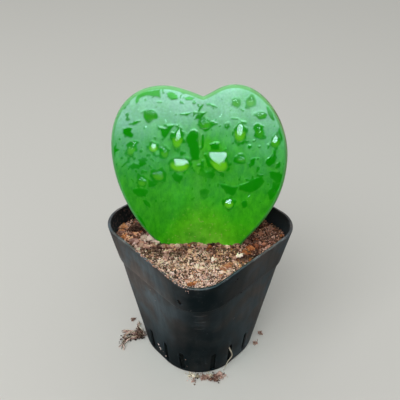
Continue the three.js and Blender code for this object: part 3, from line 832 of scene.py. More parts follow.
def depth_in(corners, place):
    """How far inside a closed outline a place is, in millimetres. Outside it is below 0."""
    nearest, inside = 100, False
    for i, end in enumerate(corners):
        start = corners[i - 1]
        along = end - start
        share = min(1, max(0, (place - start).dot(along) / along.length_squared))
        nearest = min(nearest, (place - start - along * share).length)
        if (start.y > place.y) != (end.y > place.y):
            crossing = start.x + (place.y - start.y) / along.y * along.x
            inside = inside != (place.x < crossing)
    return nearest if inside else -nearest


def film_at(u, v):
    """How wet the skin is at a place, from 0 to 1."""
    place = Vector((u, v, 3)) / FILM_GRAIN
    ragged = FILM_RAGGED * (noise.noise(place) + 0.4 * noise.noise(place * 2.3))
    wet = 0
    for x, y, wide, tall, turn in film_list:
        if abs(u - x) > FILM_REACH or abs(v - y) > FILM_REACH + 1:
            continue
        turned = math.radians(turn)
        across = (u - x) * math.cos(turned) + (v - y) * math.sin(turned)
        along = (v - y) * math.cos(turned) - (u - x) * math.sin(turned)
        far = math.hypot(2 * across / wide, 2 * along / tall) + ragged
        wet = max(wet, 1 - smooth(*FILM_FADE, far))
    for corners in pools:
        if abs(u - corners[0].x) < POOL_REACH and abs(v - corners[0].y) < POOL_REACH + 2:
            wet = max(wet, smooth(*POOL_FADE, depth_in(corners, Vector((u, v))) - 1.2 * ragged))
    spots = noise.noise(Vector((u, v, 40)) / SPOT_SIZE) + 0.35 * noise.noise(Vector((u, v, 50)) / 7)
    spots += 0.1 * smooth(-6, -22, u) * smooth(20, 28, v) * smooth(54, 46, v)
    return max(wet, 0.85 * smooth(*SPOT_FADE, spots) * smooth(*SPOTS_FROM, v))


print("wetness under the first drop:", round(film_at(*DROPS[0]["at"]), 2))

# %% [markdown]
# ### Films that have dried
# Thin water dries first, and its film turns paler. Only whole parts of the leaf differ, so each is a
# share that has dried and a few smooth steps along u or v, from start to end, that bound the part.

# %% How far the films have dried
DRIED = {
    "lower left": (0.28, [("u", -4, -14), ("u", -37, -33), ("v", 50, 40)]),
    "lower right": (0.2, [("u", 8, 14), ("v", 36, 30)]),
    "right edge": (0.1, [("u", 26, 30), ("v", 48, 54)]),
    "upper right": (0.38, [("v", 58, 61), ("u", 10, 13), ("u", 28, 24)]),
    "low middle": (0.65, [("v", 38, 34), ("off middle", 9, 6)]),
}


def film_strength(u, v):
    """How dark a film is: about 1 where it is wet, and less where it has dried."""
    at = {"u": u, "v": v, "off middle": abs(u - 2)}
    dried = 0
    for share, steps in DRIED.values():
        for along, start, end in steps:
            share *= smooth(start, end, at[along])
        dried += share
    return 1 - dried * (0.6 + 0.8 * noise.noise(Vector((u, v, 70)) / 3))


print("strength low on the left:", round(film_strength(-25, 30), 2))

# %% [markdown]
# ### The dry bloom and its painted sheen
# The bloom's mint is a painted reflection of the sky, and it isn't even: hands rub the bloom off and
# water washes it. Broad noise makes it patchy and fine noise mottles it. A few patches have a place, a
# radius and how much more of it they hold.

# %% Bloom
BLOOM_AND_SHEEN_PATCHES = [
    (-11.8, 62, 9, 0.25), (6, 62.5, 7, 0.2), (-29, 60.5, 5, -0.35), (19.6, 67, 5, -0.3),
    (-31, 46, 7, 0.6), (29, 55, 8, 0.3), (5, 42, 10, -1.1), (-22, 68, 7, -0.35),
]


def bloom_and_sheen_at(u, v):
    """How much of the dry bloom, and so of its painted sky reflection, is left at a place."""
    left = 0.86 + 0.3 * noise.noise(Vector((u, v, 60)) / 10) + 0.5 * smooth(-10, -32, u)
    left += 0.6 * (1 - 0.85 * smooth(42, 56, v)) * noise.noise(Vector((u, 0.8 * v, 62)) / 3.4)
    for x, y, far, more in BLOOM_AND_SHEEN_PATCHES:
        left += more * math.exp(-(((u - x) / far) ** 2) - ((v - y) / far) ** 2)
    return left * (1 - 0.9 * smooth(4, 20, abs(u)) * (1 - smooth(20, 40, v)))


print("bloom at the top and low down:", round(bloom_and_sheen_at(0, 60), 2), round(bloom_and_sheen_at(0, 10), 2))

# %% [markdown]
# ### Light under the drops
# A drop is a lens. Light that enters at its top is gathered on the skin under its lower half, which
# glows yellow green. A renderer can trace that, but slowly and with noise. As a value on the skin it is
# clean at once, and it moves with the drop's own numbers.

# %% Gathered light
LIT_REACH = 7


def lit_at(u, v):
    """How much light a drop gathers on the skin under its lower half."""
    lit = 0
    for drop, gathered in zip(DROPS, GATHERED):
        wide, tall = drop["wide"] / 2, drop["tall"] / 2
        across, along = u - drop["at"][0], v - drop["at"][1]
        if max(abs(across), abs(along)) > LIT_REACH:
            continue
        turned = math.radians(drop["turn"])
        x = (across * math.cos(turned) + along * math.sin(turned)) / wide
        y = (along * math.cos(turned) - across * math.sin(turned)) / tall
        low = min(wide, tall)
        inside = 1 - smooth(0.56, 0.9, math.hypot(x, y))
        lit = max(lit, gathered * inside * (1 - smooth(-0.2 * low, 0.5 * low, along)))
    return lit


print("light under the second drop:", round(lit_at(8.2, 36), 2))

# %% [markdown]
# ### Relief of the skin
# A fleshy leaf swells unevenly, its midrib is a shallow groove, and films stand a little proud. A bump
# map could fake that, but real faces also bend the highlight at the groove and at the films' edges.

# %% Relief
GROOVE_DEPTH = 0.3
GROOVE_WIDTH = 2.2
SWELL = 0.22
SWELL_LENGTH = 13
FILM_HEIGHT = 0.12


def midrib(u, v):
    """1 on the line of the midrib and 0 away from it."""
    line = mix(LEAF_TIP.x, NOTCH.x, (v - LEAF_TIP.y) / (NOTCH.y - LEAF_TIP.y)) - 0.6
    return math.exp(-(((u - line) / GROOVE_WIDTH) ** 2))


def skin_relief(u, v, front, wet):
    """How far the skin stands off the even blade, in millimetres."""
    swell = SWELL * noise.noise(Vector((u, v, 9 * front)) / SWELL_LENGTH)
    rib = GROOVE_DEPTH * midrib(u, v) * (0.4 + 0.6 * smooth(20, 64, v))
    return swell + (FILM_HEIGHT * wet - rib if front > 0 else rib)


print("groove at mid height:", round(skin_relief(-1, 36, 1, 0), 2), "mm")

# %% [markdown]
# ### A disc that will be the leaf
# One closed skin with small even faces takes noise and films best. So a grid of squares is eased into a
# disc, its border is rolled over in rings, and the other side is its mirror image. A fan of triangles
# would be simpler to make, but its long thin faces shade badly.

# %% Leaf disc
def round_grid(cells):
    """A flat grid of even squares, eased into a disc of radius 1."""
    shape = bmesh.new()
    bmesh.ops.create_grid(shape, x_segments=cells, y_segments=cells, size=1)
    for vertex in shape.verts:
        x, y = vertex.co.xy
        vertex.co.xy = x * math.sqrt(1 - y * y / 2), y * math.sqrt(1 - x * x / 2)
    return shape


leaf_shape = round_grid(LEAF_CELLS)
bmesh.ops.translate(leaf_shape, verts=leaf_shape.verts[:], vec=(0, 0, 1))
border = [edge for edge in leaf_shape.edges if edge.is_boundary]
for ring in range(1, EDGE_RINGS + 1):
    grown = bmesh.ops.extrude_edge_only(leaf_shape, edges=border)["geom"]
    border = [part for part in grown if isinstance(part, bmesh.types.BMEdge)]
    for vertex in (part for part in grown if isinstance(part, bmesh.types.BMVert)):
        vertex.co.xy = vertex.co.xy.normalized() * (1 + ring / EDGE_RINGS)
        vertex.co.z = 1 - ring / EDGE_RINGS
bmesh.ops.mirror(
    leaf_shape, geom=leaf_shape.verts[:] + leaf_shape.edges[:] + leaf_shape.faces[:],
    axis="Z", merge_dist=1e-5,
)
bmesh.ops.recalc_face_normals(leaf_shape, faces=leaf_shape.faces[:])
print("disc faces:", len(leaf_shape.faces))

# %% [markdown]
# ### The blade
# Every vertex of the disc moves to its place on the leaf. It also keeps values that the skin's material
# reads later: how wet it is, how near the midrib or the edge, and how high on the leaf.

# %% Leaf blade
EDGE_SLACK = 0.12
SIDE_DEEPER = {-1: 0.3, 1: 0.15}

layers = {}
for name in ("film", "rib", "rise", "rim", "lip", "lit", "bloom_and_sheen"):
    layers[name] = leaf_shape.verts.layers.float.new(name)
for vertex in leaf_shape.verts:
    x, y, z = vertex.co
    reach = math.hypot(x, y)
    front = 1 if z >= 0 else -1
    edge_point, inward = leaf_edge_at(math.atan2(y, x))
    turn = max(0, reach - 1) * math.pi / 2
    ring_point = edge_point + inward * (LEAF_ROUND * (1 - math.sin(turn)) + EDGE_SLACK)
    u, v = LEAF_MIDDLE.lerp(ring_point, reach) if reach < 1 else ring_point
    wet = film_at(u, v) * film_strength(u, v) if front > 0 and v > 0 else 0
    relief = skin_relief(u, v, front, wet) * (1 - smooth(0.9, 1, reach))
    vertex.co = on_leaf(u, v, front * (LEAF_ROUND * math.cos(turn) + relief))
    deeper = SIDE_DEEPER[-1 if u < 0 else 1]
    for name, value in {
        "film": wet,
        "rib": midrib(u, v) if front > 0 else 0.5 * midrib(u, v),
        "lit": lit_at(u, v) if wet else 0,
        "rise": v / LEAF_RISE + deeper * smooth(4, 20, abs(u)) * (1 - smooth(16, 34, v)),
        "bloom_and_sheen": bloom_and_sheen_at(u, v),
        "rim": smooth(0.99, 1.2, reach),
        "lip": smooth(1.2, 1.6, reach),
    }.items():
        vertex[layers[name]] = value
print("blade faces:", len(leaf_shape.faces))

# %% [markdown]
# ## Strands
# Roots, the stalk and, later, coir fibres are thin round strands that taper. A skinned chain of
# vertices could make them, but a curve with a round bevel needs only its points and the thickness at
# each, and turns into an even closed tube.

# %% Strand
def strand(points, thick, thin, sides=3):
    """A mesh tube along points in millimetres, tapering from thick to thin, with closed ends."""
    line = bpy.data.curves.new("strand", "CURVE")
    line.dimensions = "3D"
    line.bevel_depth = MM
    line.bevel_resolution = sides
    line.use_fill_caps = True
    spline = line.splines.new("NURBS")
    spline.points.add(len(points) - 1)
    spline.order_u = 4
    spline.use_endpoint_u = True
    spline.resolution_u = 7
    for i, point in enumerate(points):
        spline.points[i].co = (*(Vector(point) * MM), 1)
        spline.points[i].radius = mix(thick, thin, i / (len(points) - 1))
    holder = bpy.data.objects.new("strand", line)
    made = bpy.data.meshes.new_from_object(holder)
    bpy.data.objects.remove(holder)
    bpy.data.curves.remove(line)
    return made


sample = strand([(0, 0, 0), (0, 0, 1)], 1, 1)
print("faces of a short strand:", len(sample.polygons))
bpy.data.meshes.remove(sample)

# %% [markdown]
# ## Petiole and roots
# The same living piece goes on below the mix as a short stalk and some roots. One pale root has found
# its way out of a drain slot and hangs down to the ground. All of them are added to the blade's mesh,
# because they grew as one piece, and a value marks them so that the skin's material can tell them.

# %% Petiole and roots
PETIOLE_THICKNESS = (2, 1.6)
ROOT_THICKNESS = (0.46, 0.17)
PETIOLE = [(-1.5, -10.4, 56), (-1.6, -11.4, 50), (-1.4, -11.6, 43)]
ROOTS = [
    [(-1.4, -11.6, 45), (-8, -10, 38), (-14, -4, 30), (-17, 4, 20)],
    [(-1.4, -11.6, 44.4), (1, -4, 36), (4, 6, 28), (12, 12, 16)],
    [(-1.4, -11.6, 44.4), (-5, -15, 34), (-6, -19, 22), (-10, -19, 12)],
    [
        (-1.4, -11.6, 44.4), (4, -14.6, 34), (9.5, -18.4, 24), (13.4, -22.2, 17), (15.7, -25.8, 14.4),
        (16.6, -25.2, 11.2), (17, -24.4, 8.6), (16.2, -24.9, 6.8), (14.5, -25.9, 5.6), (14, -26.5, 3),
        (12.6, -27.7, 0.6),
    ],
]

root_layer = leaf_shape.verts.layers.float.new("root")
blade_count = len(leaf_shape.verts)
leaf_shape.from_mesh(strand(PETIOLE, *PETIOLE_THICKNESS))
for points in ROOTS:
    leaf_shape.from_mesh(strand(points, *ROOT_THICKNESS))
leaf_shape.verts.ensure_lookup_table()
for vertex in leaf_shape.verts[blade_count:]:
    vertex[root_layer] = 1
print("petiole and roots:", 1 + len(ROOTS))

# %% [markdown]
# ## Leaf skin
# A hoya leaf is a succulent: a thick, waxy skin over watery flesh. Its colour is deep, light goes a
# little way in, and the wax spreads the highlight. Subsurface scattering could show that light, but it
# blurs the sharp edges of the films, so the skin's colours carry it. The material reads the blade's own
# values and four noises. Three have real sizes: mottling 11 mm, veins 2 mm, specks of mud 1.3 mm.

# %% Leaf material and what it reads
VEIN_STRETCH = (1, 1, 0.45)

leaf_skin, tree, shader = new_material(
    "waxy_leaf_skin_grown", IOR=1.5, Specular_IOR_Level=0.17, Coat_IOR=1.26, Coat_Roughness=0.03,
)
place = add(tree, "ShaderNodeTexCoord").outputs["Object"]
across = add(tree, "ShaderNodeSeparateXYZ", {"Vector": place}).outputs["X"]
stretched = add(tree, "ShaderNodeMapping", {"Vector": place, "Scale": VEIN_STRETCH}).outputs[0]
reads = {}
for name in (*layers, "root"):
    reads[name] = add(tree, "ShaderNodeAttribute", attribute_name=name).outputs["Fac"]
for name, where, millimetres, detail, roughness in [
    ("mottle", place, 11, 6, 0.6),
    ("pores", place, 0.9, 2, 0.6),
    ("specks", place, 1.3, 2, 0.6),
    ("veins", stretched, 2, 5, 0.7),
]:
    reads[name] = add(tree, "ShaderNodeTexNoise", {
        "Vector": where, "Scale": per_size(millimetres), "Detail": detail, "Roughness": roughness,
    }).outputs["Fac"]
print("the skin reads:", *reads)

# %% [markdown]
# ### How much of each layer
# The skin's colour is built up in layers, from the flesh to the dust on it. Here every layer gets its
# share: a value that goes from low to high while the one it follows goes from start to end, or a product
# of such values. The bloom's painted reflection of the sky grows towards the top of the leaf, which leans
# back under the sky, and is kept off wherever there is water, and off the leaf's edge.

# %% Shares of the leaf's layers
RIB_SHARE = 0.09

shares = {}
for name, follows, start, end, low, high in [
    ("mottled", reads["mottle"], 0.36, 0.62, 0, 0.75),
    ("right edge", across, 20 * MM, 33 * MM, 0, 1),
    ("lip strength", reads["rise"], 0.3, 0.7, 0.15, 0.6),
    ("porous", reads["pores"], 0.3, 0.7, 0.8, 1.15),
    ("speckled", reads["specks"], 0.62, 0.7, 0, 0.65),
    ("near mix", reads["rise"], 0.05, 0.36, 1, 0),
    ("below top", reads["rise"], 0.8, 0.93, 1, 0),
]:
    shares[name] = add(tree, "ShaderNodeMapRange", {
        "Value": follows, "From Min": start, "From Max": end, "To Min": low, "To Max": high,
    }).outputs["Result"]
# Painted reflection: the bloom's sky sheen grows up the leaf, whose upper half faces the sky.
shares["high up"] = add(tree, "ShaderNodeValToRGB", {"Fac": reads["rise"]}, stops=[
    (0.2, "#000000"), (0.46, "#303030"), (0.66, "#545454"), (0.82, "#989898"), (1, "#cccccc"),
]).outputs["Color"]
for name in ("film", "rim"):
    shares["no " + name] = add(tree, "ShaderNodeMath", {
        0: 1.0, 1: reads[name],
    }, operation="SUBTRACT").outputs[0]
for name, factors in {
    "midrib": [reads["rib"], RIB_SHARE],
    "lip": [reads["lip"], shares["lip strength"]],
    "bloom_and_sheen": [shares["high up"], reads["bloom_and_sheen"], shares["no film"], shares["no rim"], shares["porous"]],
    "specks": [shares["speckled"], shares["near mix"]],
    "glossy": [reads["film"], shares["below top"]],
}.items():
    shares[name] = factors[0]
    for factor in factors[1:]:
        shares[name] = add(tree, "ShaderNodeMath", {
            0: shares[name], 1: factor,
        }, operation="MULTIPLY").outputs[0]
print("shares of the leaf's layers:", len(shares))

# %% [markdown]
# ### Colours, layer by layer
# The flesh is yellow green where it leaves the mix and deep green above. Over it lie mottling, veins,
# the midrib, wet skin, the paler edge with its worn lip, the glow under the drops, the bloom with its
# painted reflection of the sky, and specks of dried mud. The edge is also painted lighter towards the
# top, where the sky falls on it: painted light. Each layer is mixed over the ones before it, so the
# order matters.

# %% Colours of the leaf
VEIN_SHARE = 0.28

tints = {}
for name, follows, stops in [
    ("dry", "rise", [
        (0, "#96da40"), (0.14, "#64c51a"), (0.3, "#3cb604"), (0.45, "#259406"), (1, "#3aa21c"),
    ]),
    ("veins", "veins", [(0.37, "#0f7600"), (0.63, "#5cc41c")]),
    ("wet", "rise", [
        (0.1, "#0a7c02"), (0.5, "#0c8c00"), (0.72, "#0e9002"), (0.88, "#238f14"), (1, "#3c942c"),
    ]),
    # Painted light: the rolled edge is lighter towards the top of the leaf, where the sky falls on it.
    ("rim", "rise", [(0.3, "#3a8a2c"), (0.7, "#509a58"), (0.95, "#5c9a50")]),
    ("painted sky on wax", "rise", [(0.5, "#b2f0ff"), (0.84, "#d2fef6")]),
]:
    tints[name] = add(tree, "ShaderNodeValToRGB", {"Fac": reads[follows]}, stops=stops).outputs["Color"]
tints["lip"] = add(tree, "ShaderNodeMix", {
    "Factor": shares["right edge"], 6: linear("#86b080"), 7: linear("#86905e"),
}, data_type="RGBA").outputs[2]
flesh = tints["dry"]
for share, tint in [
    (shares["mottled"], linear("#188c06")),
    (VEIN_SHARE, tints["veins"]),
    (shares["midrib"], linear("#7cc04a")),
    (reads["film"], tints["wet"]),
    (reads["rim"], tints["rim"]),
    (shares["lip"], tints["lip"]),
    (reads["lit"], linear("#62bd10")),
    # Painted reflection of the sky on the dry wax.
    (shares["bloom_and_sheen"], tints["painted sky on wax"]),
    (shares["specks"], linear("#a2a45c")),
    (reads["root"], linear("#bdb39c")),
]:
    flesh = add(tree, "ShaderNodeMix", {"Factor": share, 6: flesh, 7: tint}, data_type="RGBA").outputs[2]
print("nodes of the leaf so far:", len(tree.nodes))

# %% [markdown]
# ### Sheen of the leaf
# Dry wax spreads the highlight and a film of water sharpens it, so the films get a clear coat and a
# smooth surface. The edge stays matt. Real pores are a few hundredths of a millimetre wide, too fine to
# show, so they are drawn 0.9 mm wide, and their bumps soften the sheen.

# %% Sheen, and the leaf's piece
RIM_MATT = 0.6

rough = add(tree, "ShaderNodeMapRange", {
    "Value": shares["glossy"], "From Min": 0.2, "From Max": 0.8, "To Min": 0.32, "To Max": 0.12,
}).outputs["Result"]
rough = add(tree, "ShaderNodeMix", {"Factor": reads["rim"], "A": rough, "B": RIM_MATT}).outputs[0]
bump = add(tree, "ShaderNodeBump", {
    "Height": reads["pores"], "Strength": 0.12, "Distance": 0.05 * MM,
}).outputs["Normal"]
tree.links.new(flesh, shader.inputs["Base Color"])
tree.links.new(rough, shader.inputs["Roughness"])
tree.links.new(shares["glossy"], shader.inputs["Coat Weight"])
tree.links.new(bump, shader.inputs["Normal"])
finish(leaf_shape, "heart_leaf_skin", leaf_skin, "leaf_skin", "heart_leaf")

# %% [markdown]
# ## Water
# To a renderer water is smooth glass with an index of 1.33: it bends the leaf behind it and mirrors the
# sky. A drop that is spread thin is nearly flat, and would throw the bright sky back all over, like milk.
# So the thin water mirrors with a darker tint, and the green below it stays clear.

# %% Two waters
WATER = {"Base_Color": linear("#ffffff"), "Roughness": 0.0, "IOR": 1.33, "Transmission_Weight": 1.0}
water, tree, shader = new_material("clear_water", Specular_IOR_Level=0.75, **WATER)
thin_water, tree, shader = new_material(
    "clear_water_spread_thin", Specular_Tint=linear("#7e8682"), **WATER,
)
print("waters:", water.name, thin_water.name)

# %% [markdown]
# ### The shape of a drop
# A drop on wax stands up with a round edge and leans downhill. Each starts as a sphere: its front half
# becomes the dome, and its back half is pressed flat just inside the skin, so no air is left under it.
# A simulation could find the shape too, but it couldn't be steered to a drop that is known.

# %% Drop shape
SINK = 0.25
WOBBLE = 0.08
EDGE_HEIGHT = 0.3
DOME_POWER = 0.85
DOWNHILL = 0.25
OUTLINE_HALF = 5


def outline_reach(points, angle):
    """How far a closed outline reaches from its middle at an angle."""
    corners = sorted((math.atan2(y, x), math.hypot(x, y)) for x, y in points)
    for i, (end, far) in enumerate(corners):
        start, near = corners[i - 1]
        span = (end - start) % (2 * math.pi)
        if (angle - start) % (2 * math.pi) <= span:
            return mix(near, far, smooth(0, 1, ((angle - start) % (2 * math.pi)) / span))


def drop_shape(at, wide, tall, high, turn, taper, seed, outline=None, rounds=(40, 20)):
    """A drop on the leaf as a bmesh. An outline, as points from its middle, takes the ellipse's place."""
    shape = bmesh.new()
    bmesh.ops.create_uvsphere(shape, u_segments=rounds[0], v_segments=rounds[1], radius=1)
    turned = math.radians(turn)
    for vertex in shape.verts:
        x, y, z = vertex.co
        angle = math.atan2(y, x)
        wobble = 1 + WOBBLE * noise.noise(Vector((math.cos(angle), math.sin(angle), seed)) * 1.3)
        across = wobble * (wide / 2) * x * (1 - taper * y)
        along = wobble * (tall / 2) * y
        u = at[0] + across * math.cos(turned) - along * math.sin(turned)
        v = at[1] + across * math.sin(turned) + along * math.cos(turned)
        if outline:
            reach = math.hypot(x, y) * outline_reach(outline, angle)
            u = at[0] + reach * math.cos(angle)
            v = at[1] + reach * math.sin(angle)
            y = reach * math.sin(angle) / OUTLINE_HALF
        dome = (high + EDGE_HEIGHT) * max(0, z) ** DOME_POWER * (1 - DOWNHILL * y)
        off = LEAF_ROUND + (dome if z > 0 else SINK * z)
        vertex.co = on_leaf(u, v, off)
    bmesh.ops.recalc_face_normals(shape, faces=shape.faces[:])
    return shape


print("first drop reaches:", round(outline_reach(DROPS[0]["outline"], 0), 2), "mm to its right")

# %% [markdown]
# ### The drops
# The seven tall drops are listed first and take the clear water. No drop casts a shadow: a real one
# passes the light on to the leaf, but a render that doesn't follow bent light would leave the skin
# below it dark.

# %% Drops on the leaf
TALL_DROPS = 7

for i, drop in enumerate(DROPS):
    shape = drop_shape(**drop, seed=i)
    skin = water if i < TALL_DROPS else thin_water
    made = finish(shape, f"drop_{i + 1:02d}", skin, "water", f"water_bead_{i + 1:02d}")
    made.visible_shadow = False

# %% [markdown]
# ### Fine drops
# A spray leaves small drops as well. They are too small for nodes of their own, so they make one piece
# with fewer faces each. A drop is its place, its width, its height on the leaf and how far it stands up.

# %% Fine drops
FINE_TAPER = 0.15
FINE_SEED = 40
FINE_DROPS = [
    (22.4, 22.9, 2.7, 3.6, 0.7), (-23.4, 52.6, 2.2, 2.6, 0.8), (-26.2, 60.2, 2, 2, 0.5),
    (-26.9, 12.7, 0.9, 1.1, 0.5), (-11, 6.5, 0.8, 0.8, 0.4), (8.3, 58.8, 2.1, 2.1, 0.6),
    (-20.6, 54.3, 3, 1.4, 0.5), (-27.8, 55, 3.6, 1.2, 0.4), (6.2, 21.2, 0.8, 0.9, 0.4),
    (33.6, 26, 1.2, 1.6, 0.4), (-12.7, 59.8, 2.8, 1.1, 0.3), (-15.2, 55.6, 3.4, 2.4, 0.5),
]
fine_drops = bmesh.new()
for i, (u, v, wide, tall, high) in enumerate(FINE_DROPS):
    bead = drop_shape((u, v), wide, tall, high, 0, FINE_TAPER, seed=i + FINE_SEED, rounds=(20, 12))
    holder = bpy.data.meshes.new("bead")
    bead.to_mesh(holder)
    bead.free()
    fine_drops.from_mesh(holder)
made = finish(fine_drops, "fine_drops", thin_water, "water")
made.visible_shadow = False

# %% [markdown]
# ## The mix
# The pot is filled with a dry, crumbly mix of coir, bark and grit. It is banked up against the leaf's
# foot and heaped in the front corner. A particle system could scatter the crumbs, but a seeded rule
# gives plain meshes that always come out the same.

# %% Level of the mix
SOIL_LEVEL = 67
BANK = {"high": 3, "at": -9, "deep": 10, "wide": 26}
HEAP = {"high": 5, "from": 12, "to": 34}
HOLLOW = {"at": (-31.5, 6.6), "wide": 3, "deep": 2.6}
LUMP = {"high": 1.1, "wide": 6}
CRUMB = {"high": 0.9, "wide": 2.0, "sunk": 0.6}


def mix_level(x, y):
    """The mix's height at a place, before it is broken into crumbs."""
    bank = BANK["high"] * math.exp(-(((y - BANK["at"]) / BANK["deep"]) ** 2) - (x / BANK["wide"]) ** 4)
    return SOIL_LEVEL + bank + HEAP["high"] * smooth(HEAP["from"], HEAP["to"], -y)


def hollow(x, y):
    """1 in the middle of the dark gap beside the leaf, and 0 away from it."""
    far = math.hypot(x - HOLLOW["at"][0], y - HOLLOW["at"][1]) / HOLLOW["wide"]
    return math.exp(-far**2)


def bed_height(x, y):
    """The height of the broken surface."""
    lumps = LUMP["high"] * noise.noise(Vector((x, y, 0)) / LUMP["wide"])
    crumbs = CRUMB["high"] * noise.turbulence(Vector((x, y, 5)) / CRUMB["wide"], 3, True) - CRUMB["sunk"]
    return mix_level(x, y) + lumps + crumbs - HOLLOW["deep"] * hollow(x, y)


print("mix level in the middle and in front:", round(mix_level(0, 0), 1), round(mix_level(0, -34), 1), "mm")

# %% [markdown]
# ### The bed
# Below the loose grains lies one closed body. It is the same grid of squares as the leaf's, fitted to
# the pot's inside, with its border pulled down to the floor in rows. Its top follows the broken surface.

# %% Bed
GAP = 0.3
BED_CELLS = 190
BED_ROWS = 8
TOP_HALF = 42

bed = round_grid(BED_CELLS)
border = [edge for edge in bed.edges if edge.is_boundary]
for row in range(1, BED_ROWS + 1):
    grown = bmesh.ops.extrude_edge_only(bed, edges=border)["geom"]
    border = [part for part in grown if isinstance(part, bmesh.types.BMEdge)]
    for vertex in (part for part in grown if isinstance(part, bmesh.types.BMVert)):
        vertex.co.z = -row
bmesh.ops.contextual_create(bed, geom=border)
for vertex in bed.verts:
    x, y, z = vertex.co
    angle = math.atan2(y, x)
    top = SOIL_LEVEL + HEAP["high"] * smooth(HEAP["from"], HEAP["to"], -y * TOP_HALF)
    height = mix(top, FLOOR + GAP, -z / BED_ROWS)
    half = wall_half(height) - WALL - GAP
    vertex.co.xy *= square_reach(angle, corner_share(height)) * half
    vertex.co.z = bed_height(vertex.co.x, vertex.co.y) if z == 0 else height
    vertex.co *= MM
bmesh.ops.recalc_face_normals(bed, faces=bed.faces[:])
print("bed faces:", len(bed.faces))

# %% [markdown]
# ### Kinds of grain
# A grain of coir or bark is angular, and no two are alike. Ten fine kinds and ten lumps are enough,
# since each one that is laid gets its own size, turn, tone and hue. A fine kind is a cube and a lump is
# an icosphere, with their corners moved by noise. The tone and hue are values that the material reads.

# %% Kinds of grain
KINDS = 10
CUBE_SIDE = 1.2
CUBE_BROKEN = 0.45
LUMP_BROKEN = 0.7

chance = random.Random(5)


def grain_kind(seed, lump=False):
    """An angular grain about 2 across, before its size. A lump has more faces."""
    shape = bmesh.new()
    if lump:
        bmesh.ops.create_icosphere(shape, subdivisions=2, radius=1)
    else:
        bmesh.ops.create_cube(shape, size=CUBE_SIDE)
    broken = LUMP_BROKEN if lump else CUBE_BROKEN
    for vertex in shape.verts:
        vertex.co *= 1 + broken * noise.noise(vertex.co * 1.9 + Vector((seed * 7.3, 0, 0)))
    made = bpy.data.meshes.new("grain")
    shape.to_mesh(made)
    shape.free()
    for name in ("tone", "hue"):
        made.attributes.new(name, "FLOAT", "POINT")
    return made


fine_kinds = [grain_kind(seed) for seed in range(KINDS)]
lump_kinds = [grain_kind(seed, lump=True) for seed in range(KINDS)]
print("faces of a fine kind and of a lump:", len(fine_kinds[0].polygons), len(lump_kinds[0].polygons))

# %% [markdown]
# ### Laying grains
# Each grain is moved, its vertices are added to one large mesh, and the kind is moved back. Thousands of
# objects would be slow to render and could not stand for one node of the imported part.

# %% Laying grains
LEAF_STRIP = {"at": (-1, -6.8), "half": (20, 2.4)}
GRAIN_LEVEL = 71
TURN_RANGE = 6.3


def lay(shape, kind, place, size, tone, hue, tip=0.6):
    """Adds a copy of a grain at a place in millimetres, turned by chance, with its colour."""
    turned = Matrix.Rotation(chance.uniform(0, TURN_RANGE), 4, "Z")
    spin = turned @ Matrix.Rotation(chance.uniform(-tip, tip), 4, "X")
    move = Matrix.Translation(Vector(place) * MM) @ spin @ Matrix.Diagonal((*(Vector(size) * MM), 1))
    kind.transform(move)
    kind.attributes["tone"].data.foreach_set("value", [tone] * len(kind.vertices))
    kind.attributes["hue"].data.foreach_set("value", [hue] * len(kind.vertices))
    shape.from_mesh(kind)
    kind.transform(move.inverted())


def inside_pot(x, y, clear):
    """Whether a place on top of the mix is this far or further from the wall."""
    reach = square_reach(math.atan2(y, x), corner_share(GRAIN_LEVEL))
    return math.hypot(x, y) < (wall_half(GRAIN_LEVEL) - WALL - clear) * reach


def under_leaf(x, y):
    """Whether the leaf stands at this place."""
    across, along = abs(x - LEAF_STRIP["at"][0]), abs(y - LEAF_STRIP["at"][1])
    return across < LEAF_STRIP["half"][0] and along < LEAF_STRIP["half"][1]


def new_heap():
    """An empty bmesh whose vertices can hold a tone and a hue."""
    shape = bmesh.new()
    for name in ("tone", "hue"):
        shape.verts.layers.float.new(name)
    return shape


print("grains may lie at the middle and under the leaf:", inside_pot(0, 0, 1), not under_leaf(-1, -6.8))

# %% [markdown]
# ### Colour of the mix
# Dry dust makes the front of the mix pale, and the back is darker and browner. The rule gives a usual
# tone and hue for a place, and every grain then strays a little from it.

# %% Colour by place
def mix_colour(x, y):
    """The usual tone and hue of the mix at a place."""
    patch = noise.noise(Vector((x, y, 8)) / 5)
    dry = smooth(-8, -22, y + 0.2 * abs(x + 8)) * smooth(30, 12, x)
    tone = 0.43 + 0.4 * dry + (0.4 - 0.16 * dry) * patch
    tone -= 0.05 * smooth(12, 24, x)
    tone += 0.16 * smooth(-20, -30, x)
    # Painted shade: grains in the hollow beside the leaf are darker.
    tone -= hollow(x, y)
    hue = 0.2 + 0.32 * smooth(0, 22, x) + 0.3 * smooth(-26, -36, x)
    hue += 0.3 * noise.noise(Vector((x, y, 30)) / 4)
    return tone, hue


def stray(value, far, middle=0):
    """A tone or a hue, moved off by chance."""
    return value + chance.gauss(middle, far)


print("tone and hue in front:", *(round(value, 2) for value in mix_colour(0, -30)))

# %% [markdown]
# ### Fine grains
# Most of what is seen is fine stuff, 0.4 to 1.2 mm across. Small grains are far more common than large
# ones, so the size, half of that, follows a power of an even chance. A finer grain would be too small to
# show. The hue is held above the value at which a grain turns to straw.

# %% Fine grains
FINE_GRAINS = 15500
HALF_AREA = 43
LEAST_HUE = -0.2

